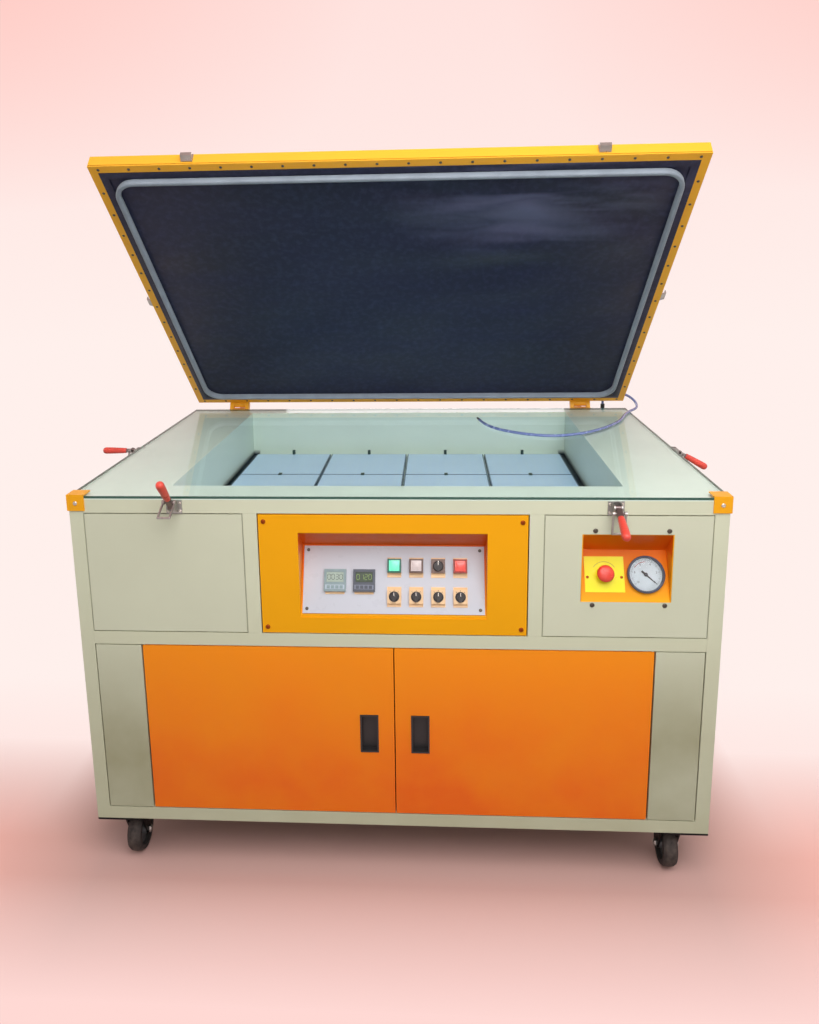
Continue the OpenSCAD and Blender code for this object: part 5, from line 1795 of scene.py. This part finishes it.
@dataclass
class GaugeBay(SlopedPanel):
    """The vacuum gauge's dial, glass and rim, and the emergency stop's screws."""

    sill: float = 0.678
    slope: float = math.degrees(math.atan2(50.0, 99.0))
    gauge_x: float = 0.5405
    gauge_s: float = 0.058
    stop_x: float = 0.4535
    stop_top: float = 0.0015
    stop_screw_x: float = 0.036
    stop_screw_s: float = 0.052
    floor: float = 0.003
    pane: float = 0.0072
    pin: float = 0.0022
    radius: float = 0.0346
    pane_radius: float = 0.0347
    pane_edge: float = 0.0008
    pane_crown: float = 0.0011
    dial_thick: float = 0.00015
    ink_lift: float = 0.00018
    long_tick: Point = (0.0006, 0.0042, 0.00012)
    long_tick_in: float = 0.0052
    short_tick: Point = (0.00035, 0.0024, 0.00012)
    short_tick_in: float = 0.0043
    figure_tall: float = 0.0062
    figure_thick: float = 0.00005
    figure_in: float = 0.0112
    figure_lift: float = 0.0002
    sector_wide: float = 0.0012
    sector_in: float = 0.0078
    sector_lift: float = 0.0001
    ring: tuple[float, float, float] = (0.0262, 0.0274, 0.0002)
    ring_cut: float = 0.014
    zero: float = -132.0
    full: float = 132.0
    sector: float = -58.0
    steps: int = 50
    bay_screws: tuple[tuple[float, float], ...] = (
        (0.425, 0.671), (0.577, 0.671), (0.427, 0.837), (0.579, 0.837),
    )
    rim: Profile = (
        (0.0352, 0.0082), (0.0356, 0.0096), (0.0368, 0.0102), (0.0384, 0.0098), (0.0396, 0.0086),
        (0.0398, 0.0060), (0.0394, 0.0048), (0.0391, 0.0048), (0.0391, 0.0090), (0.0352, 0.0090),
        (0.0352, 0.0082),
    )
    head: Profile = (
        (0.0, 0.0255), (0.0060, 0.0254), (0.0090, 0.0250), (0.0120, 0.0243), (0.0146, 0.0233),
        (0.0166, 0.0217), (0.0177, 0.0201), (0.0180, 0.0184), (0.0180, 0.0158), (0.0175, 0.0145),
        (0.0164, 0.0137), (0.0150, 0.0135), (0.0150, 0.0160), (0.0, 0.0200),
    )

    def build(self) -> None:
        """Builds every piece in the gauge bay."""
        self.dial()
        self.scale()
        self.numbers()
        self.red_arc()
        self.glass_and_rim()
        self.stop_details()
        places = [at(x, FRONT, z) @ TO_FRONT for x, z in self.bay_screws]
        BOX_SCREW.drive_in("bay_screws", places, SCREW)

    def gauge(self, out: float = 0.0) -> Matrix:
        """Gives the gauge's middle, out from the panel."""
        return self.on_panel(self.gauge_x, self.gauge_s, out)

    def angle(self, share: float) -> float:
        """Gives the angle of a share of the scale, in degrees."""
        return self.zero + (self.full - self.zero) * share

    def dial(self) -> None:
        """Lays the white dial in the cup, open round the pointer's pin."""
        place = self.gauge(self.floor)
        face = settle(ring("gauge_dial", self.pin, self.radius, self.dial_thick), place)
        finish = DialFace("dial_white", paint(202, 211, 218), centre=tuple(place.translation))
        fit(face, finish)

    def scale(self) -> None:
        """Prints the scale's long and short ticks."""
        long_tick = block("tick", self.long_tick, (0.0, self.radius - self.long_tick_in, 0.0))
        short_tick = block("tick", self.short_tick, (0.0, self.radius - self.short_tick_in, 0.0))
        face = self.gauge(self.floor + self.ink_lift)
        marks = []
        for i in range(self.steps + 1):
            tick = long_tick if i % 5 == 0 else short_tick
            marks.append(twin(tick, face @ turn(self.angle(i / self.steps), "Z")))
        drop(long_tick)
        drop(short_tick)
        fit(weld("gauge_scale", marks), DIAL_INK)

    def numbers(self) -> None:
        """Prints the scale's numbers, 0 to 10, as flat figures."""
        figures = []
        reach = self.radius - self.figure_in
        for i in range(0, 11, 2):
            free_selection()
            bpy.ops.object.text_add()
            text = bpy.context.object
            text.data.body = str(i)
            text.data.size = self.figure_tall
            text.data.align_x = "CENTER"
            text.data.align_y = "CENTER"
            text.data.extrude = self.figure_thick
            bpy.ops.object.convert(target="MESH")
            angle = math.radians(self.angle(i / 10))
            place = at(-math.sin(angle) * reach, math.cos(angle) * reach, 0.0)
            figures.append(settle(text, self.gauge(self.floor + self.figure_lift) @ place))
        fit(weld("gauge_numbers", figures), DIAL_INK)

    def red_arc(self) -> None:
        """Prints the scale's red sector."""
        middle = (0.0, self.radius - self.sector_in, self.sector_lift)
        arc = flat("gauge_red_sector", SPECK, self.sector_wide, middle)
        open_mesh(arc)
        bpy.ops.mesh.delete(type="ONLY_FACE")
        mesh = bmesh.from_edit_mesh(arc.data)
        bpy.ops.mesh.select_mode(type="EDGE")
        bpy.ops.mesh.select_all(action="DESELECT")
        for edge in mesh.edges:
            first, second = (vertex.co for vertex in edge.verts)
            edge.select_set(abs(first.y - second.y) > self.sector_wide / 2 and first.x > 0)
        bmesh.update_edit_mesh(arc.data)
        sweep = math.radians(self.sector)
        bpy.ops.mesh.spin(steps=24, angle=sweep, center=ORIGIN, axis=UP)
        bpy.ops.mesh.select_all(action="SELECT")
        bpy.ops.mesh.delete_loose()
        close_mesh()
        settle(arc, self.gauge(self.floor + self.sector_lift))
        fit(arc, DIAL_RED)

    def glass_and_rim(self) -> None:
        """Closes the gauge with a thin pane and a rounded dark rim."""
        edge = ((self.pane_radius, 0.0), (self.pane_radius, self.pane_edge))
        profile = ((0.0, 0.0), *edge, (0.0, self.pane_crown))
        pane = settle(turned("gauge_pane", profile, sides=64), self.gauge(self.pane))
        fit(pane, CLEAR)
        rim = settle(turned("gauge_rim", self.rim, sides=96), self.gauge())
        fit(rim, GAUGE_RIM)

    def stop_details(self) -> None:
        """Adds the stop plate's two screws, its printed arc and the head's rounded cap."""
        sides = (-self.stop_screw_x, self.stop_screw_x)
        places = [self.on_panel(self.stop_x + x, self.stop_screw_s, self.stop_top) for x in sides]
        STOP_SCREW.drive_in("stop_screws", places, ORANGE_SCREW)
        printed = ring("stop_ring", *self.ring)
        pick(printed, lambda centre, normal: centre.y < self.ring_cut)
        bpy.ops.mesh.delete(type="FACE")
        settle(printed, self.on_panel(self.stop_x, self.gauge_s, self.stop_top))
        fit(printed, OLIVE)
        cap = turned("stop_head", self.head, sides=64, smooth=60.0)
        settle(cap, self.on_panel(self.stop_x, self.gauge_s))
        fit(cap, MUSHROOM, "estop_button")


@dataclass
class ClampDress:
    """What finishes one toggle clamp: the ribbed red grip and the base's screws."""

    name: str
    side: int
    angle: float
    at_front: bool
    clamp_x: float = 0.467
    clamp_y: float = -0.025
    clamp_z: float = 0.887
    reach: float = 0.020
    rise: float = 0.006
    base_top: float = 0.003
    screw_x: float = 0.013
    screw_z: float = 0.009
    ribs: int = 6
    rib_start: float = 0.040
    rib_pitch: float = 0.0070
    rib_radius: float = 0.0075
    rib_growth: float = 0.00026
    rib_swell: float = 0.0003
    neck: Profile = ((0.0, 0.030), (0.0050, 0.030), (0.0066, 0.0312), (0.0070, 0.0335), (0.0069, 0.0370))
    tip: Profile = (
        (0.0090, 0.0835), (0.0090, 0.0865), (0.0083, 0.0905), (0.0066, 0.0935), (0.0038, 0.0952),
        (0.0, 0.0957),
    )

    def base(self) -> Matrix:
        """Gives the clamp's frame: X along the beam, Y outwards, Z up.

        Returns:
            The place and turn of that frame.
        """
        if self.at_front:
            return at(self.side * self.clamp_x, FRONT, self.clamp_z) @ turn(180.0, "Z")
        return at(self.side * WALL, self.clamp_y, self.clamp_z) @ turn(-self.side * 90.0, "Z")

    def build(self) -> None:
        """Builds the grip, with its neck and shallow finger grooves, and the screws."""
        profile = list(self.neck)
        for i in range(self.ribs):
            start = self.rib_start + i * self.rib_pitch
            radius = self.rib_radius + i * self.rib_growth
            profile += [(radius, start), (radius + self.rib_swell, start + 0.0030)]
            profile += [(radius - self.rib_swell, start + 0.0056)]
        grip = turned(f"grip_{self.name}", [*profile, *self.tip], sides=32, smooth=60.0)
        away = turn(-90.0, "X")
        settle(grip, self.base() @ at(0.0, self.reach, self.rise) @ turn(self.angle, "X") @ away)
        fit(grip, GRIP, f"clamp_handle_{self.name}")
        corners = [(x, z) for x in (-self.screw_x, self.screw_x) for z in (-self.screw_z, self.screw_z)]
        places = [self.base() @ at(x, self.base_top, z) @ away for x, z in corners]
        CLAMP_SCREW.drive_in(f"clamp_screws_{self.name}", places, PALE_SCREW)


@dataclass
class CasterDress:
    """What finishes one caster: hub discs, axle nuts and the plate's bolts."""

    name: str
    side: int
    end: int
    x: float = 0.627
    y: float = 0.462
    trail: float = 0.025
    radius: float = 0.050
    disc_out: float = 0.0062
    nut_out: float = 0.0222
    bolt_x: float = 0.686
    bolt_y: float = 0.465
    bolt_apart: float = 0.025
    plate_bottom: float = 0.120
    nut: tuple[float, float] = (0.0092, 0.0050)
    bolt: tuple[float, float] = (0.0058, 0.0036)
    disc: Profile = ((0.0062, 0.0), (0.0240, 0.0), (0.0252, 0.0006), (0.0062, 0.0016), (0.0062, 0.0))

    def both_sides(self, hub: Matrix, out: float) -> list[Matrix]:
        """Gives the places on both sides of the wheel, out from its middle."""
        return [hub @ turn(angle, "Y") @ at(0.0, 0.0, out) for angle in (90.0, -90.0)]

    def build(self) -> None:
        """Builds the caster's fittings and gives its wheel a finish of its own."""
        hub = at(self.side * self.x, self.end * self.y + self.trail, self.radius)
        wheel = f"wheel_{self.name}"
        finish = WheelRubber(f"wheel_rubber_{self.name}", paint(30, 29, 28), hub=tuple(hub.translation))
        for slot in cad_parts[wheel].material_slots:
            slot.material = finish.make()
        disc = turned("hub", self.disc, 40)
        discs = spread(f"hub_discs_{self.name}", disc, self.both_sides(hub, self.disc_out))
        fit(discs, HUB, wheel)
        nut = hexagon("nut", *self.nut)
        sink(nut, 0.0028, -0.0012)
        nuts = spread(f"axle_nuts_{self.name}", soften(nut, 0.0006), self.both_sides(hub, self.nut_out))
        fit(nuts, ZINC, f"caster_fork_{self.name}")
        bolt = hexagon("bolt", *self.bolt)
        sink(bolt, 0.0016, 0.0006)
        middle = at(self.side * self.bolt_x, self.end * self.bolt_y, self.plate_bottom)
        apart = (-self.bolt_apart, self.bolt_apart)
        corners = [middle @ at(0.0, y, 0.0) @ turn(180.0, "X") for y in apart]
        fit(spread(f"plate_bolts_{self.name}", soften(bolt, 0.0004), corners), ZINC)


@dataclass
class PanelSeals:
    """The soft strips in the gaps round the fixed panels, set a little below their faces; their pale olive
    colour is painted shade, a soft line in place of the gaps' dark shade.
    """

    gap: float = 0.0024
    below: float = 0.0016
    thick: float = 0.002
    rows: tuple[tuple[float, float], ...] = ((0.144, 0.577), (0.585, 0.883))
    bay_x: tuple[float, float] = (0.3225, 0.6675)
    rear_x: float = 0.6675
    side_y: float = 0.4675
    slack: float = 0.0001
    soft: float = 0.0003

    def strip(self, wide: float, row: tuple[float, float], place: Matrix) -> Piece:
        """Makes the strip round one panel.

        Args:
            wide: The panel's width.
            row: Its lower and upper edge.
            place: The panel's middle at floor height, with Z outwards and Y up.

        Returns:
            The strip in its place.
        """
        low, high = row
        size = (wide + 2 * self.gap, high - low + 2 * self.gap, self.thick)
        strip = block("strip", size, (0.0, (low + high) / 2, -self.below - self.thick / 2))
        open_frame(strip, self.gap - self.slack)
        return settle(soften(strip, self.soft, 1), place)

    def build(self) -> None:
        """Lays a strip round each upper front panel and each rear and side panel."""
        low, high = self.bay_x
        middle = (low + high) / 2
        bays = [at(side * middle, FRONT, 0.0) @ TO_FRONT for side in (-1, 1)]
        strips = [self.strip(high - low, self.rows[1], bay) for bay in bays]
        behind = at(0.0, REAR, 0.0) @ turn(180.0, "Z") @ TO_FRONT
        for row in self.rows:
            strips.append(self.strip(2 * self.rear_x, row, behind))
            for side in (-1, 1):
                wall = at(side * WALL, 0.0, 0.0) @ turn(side * 90.0, "Z") @ TO_FRONT
                strips.append(self.strip(2 * self.side_y, row, wall))
        fit(weld("panel_gap_shade_strips", strips), GAP_SHADE)


@dataclass
class PanelScrews:
    """The small screws that hold the rear and side panels."""

    rear_x: tuple[float, ...] = (-0.652, -0.217, 0.217, 0.652)
    side_y: tuple[float, ...] = (-0.452, 0.0, 0.452)
    heights: tuple[float, ...] = (0.172, 0.548, 0.616, 0.858)

    def build(self) -> None:
        """Sets a screw at each place of the rear and the two side walls."""
        places: list[Matrix] = []
        for z in self.heights:
            places += [at(x, REAR, z) @ turn(-90.0, "X") for x in self.rear_x]
            for side in (-1, 1):
                places += [at(side * WALL, y, z) @ turn(side * 90.0, "Y") for y in self.side_y]
        PANEL_SCREW.drive_in("panel_screws", places, SCREW)


DRESS: tuple[tuple[Finish, tuple[str, ...]], ...] = (
    (CREAM, ("cabinet_frame", "side_panels", "rear_panel", "floor_panel")),
    (PANEL_CREAM_SHADED, ("front_panels",)),
    (CHAMBER, ("light_box",)),
    (BOARD, ("led_boards",)),
    (GLASS, ("glass_top",)),
    (ORANGE, ("corner_guards",)),
    (RECESS_ORANGE_SHADED, ("control_box", "gauge_box")),
    (WHITE, ("control_plate",)),
    (TIMER_PLASTIC, ("timers",)),
    (BEZEL, ("switch_bezels",)),
    (GAUGE_RIM, ("gauge_case",)),
    (YELLOW, ("estop_base",)),
    (CAST, ("vacuum_pump",)),
    (DRIVER, ("driver_boxes",)),
    (STRUT, ("strut_cylinders",)),
    (CHROME, ("strut_rods",)),
    (HOSE, ("vacuum_hose",)),
    (LID_ORANGE, ("lid_frame", "hinge_blocks", "blanket_strips")),
    (BLANKET_SHEEN, ("rubber_blanket",)),
    (FOAM, ("lid_gasket",)),
    (DOOR_ORANGE_SHADED, ("door_left", "door_right")),
    (MINT, ("button_green",)),
    (MILK, ("button_white",)),
    (RED_LENS, ("button_red",)),
    (MUSHROOM, ("estop_button",)),
    (BLACK, ("hose_fitting", "gauge_pointer", "door_pull_", "selector_")),
    (ZINC, ("clamp_bases", "lid_keepers", "clamp_hook_")),
    (NECK, ("clamp_handle_",)),
    (CASTER, ("caster_plates", "caster_fork_")),
    (TYRE, ("wheel_",)),
)
CLAMPS: tuple[ClampDress, ...] = (
    ClampDress("front_left", -1, 47.0, True),
    ClampDress("front_right", 1, -22.0, True),
    ClampDress("side_left", -1, 0.0, False),
    ClampDress("side_right", 1, -30.0, False),
)
CASTERS: tuple[CasterDress, ...] = (
    CasterDress("front_left", -1, -1),
    CasterDress("front_right", 1, -1),
    CasterDress("rear_left", -1, 1),
    CasterDress("rear_right", 1, 1),
)


def dress_nodes() -> None:
    """Gives every solid of the frame its finish, by its name or the start of it."""
    for name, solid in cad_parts.items():
        finish = next(finish for finish, starts in DRESS if name.startswith(starts))
        for slot in solid.material_slots:
            slot.material = finish.make()
        if not solid.material_slots:
            solid.data.materials.append(finish.make())
        LOG.info("%s has the finish %s", name, finish.name)


def main() -> None:
    """Builds the exposure unit's visible pieces in order."""
    logging.basicConfig(level=logging.INFO, format="%(name)s: %(message)s")
    Studio().build()
    VacuumHose().build()
    dress_nodes()
    for part in (VacuumLid(), LightTable(), ControlPanel(), GaugeBay(), *CLAMPS, *CASTERS):
        part.build()
    PanelScrews().build()
    PanelSeals().build()


if __name__ == "__main__":
    main()
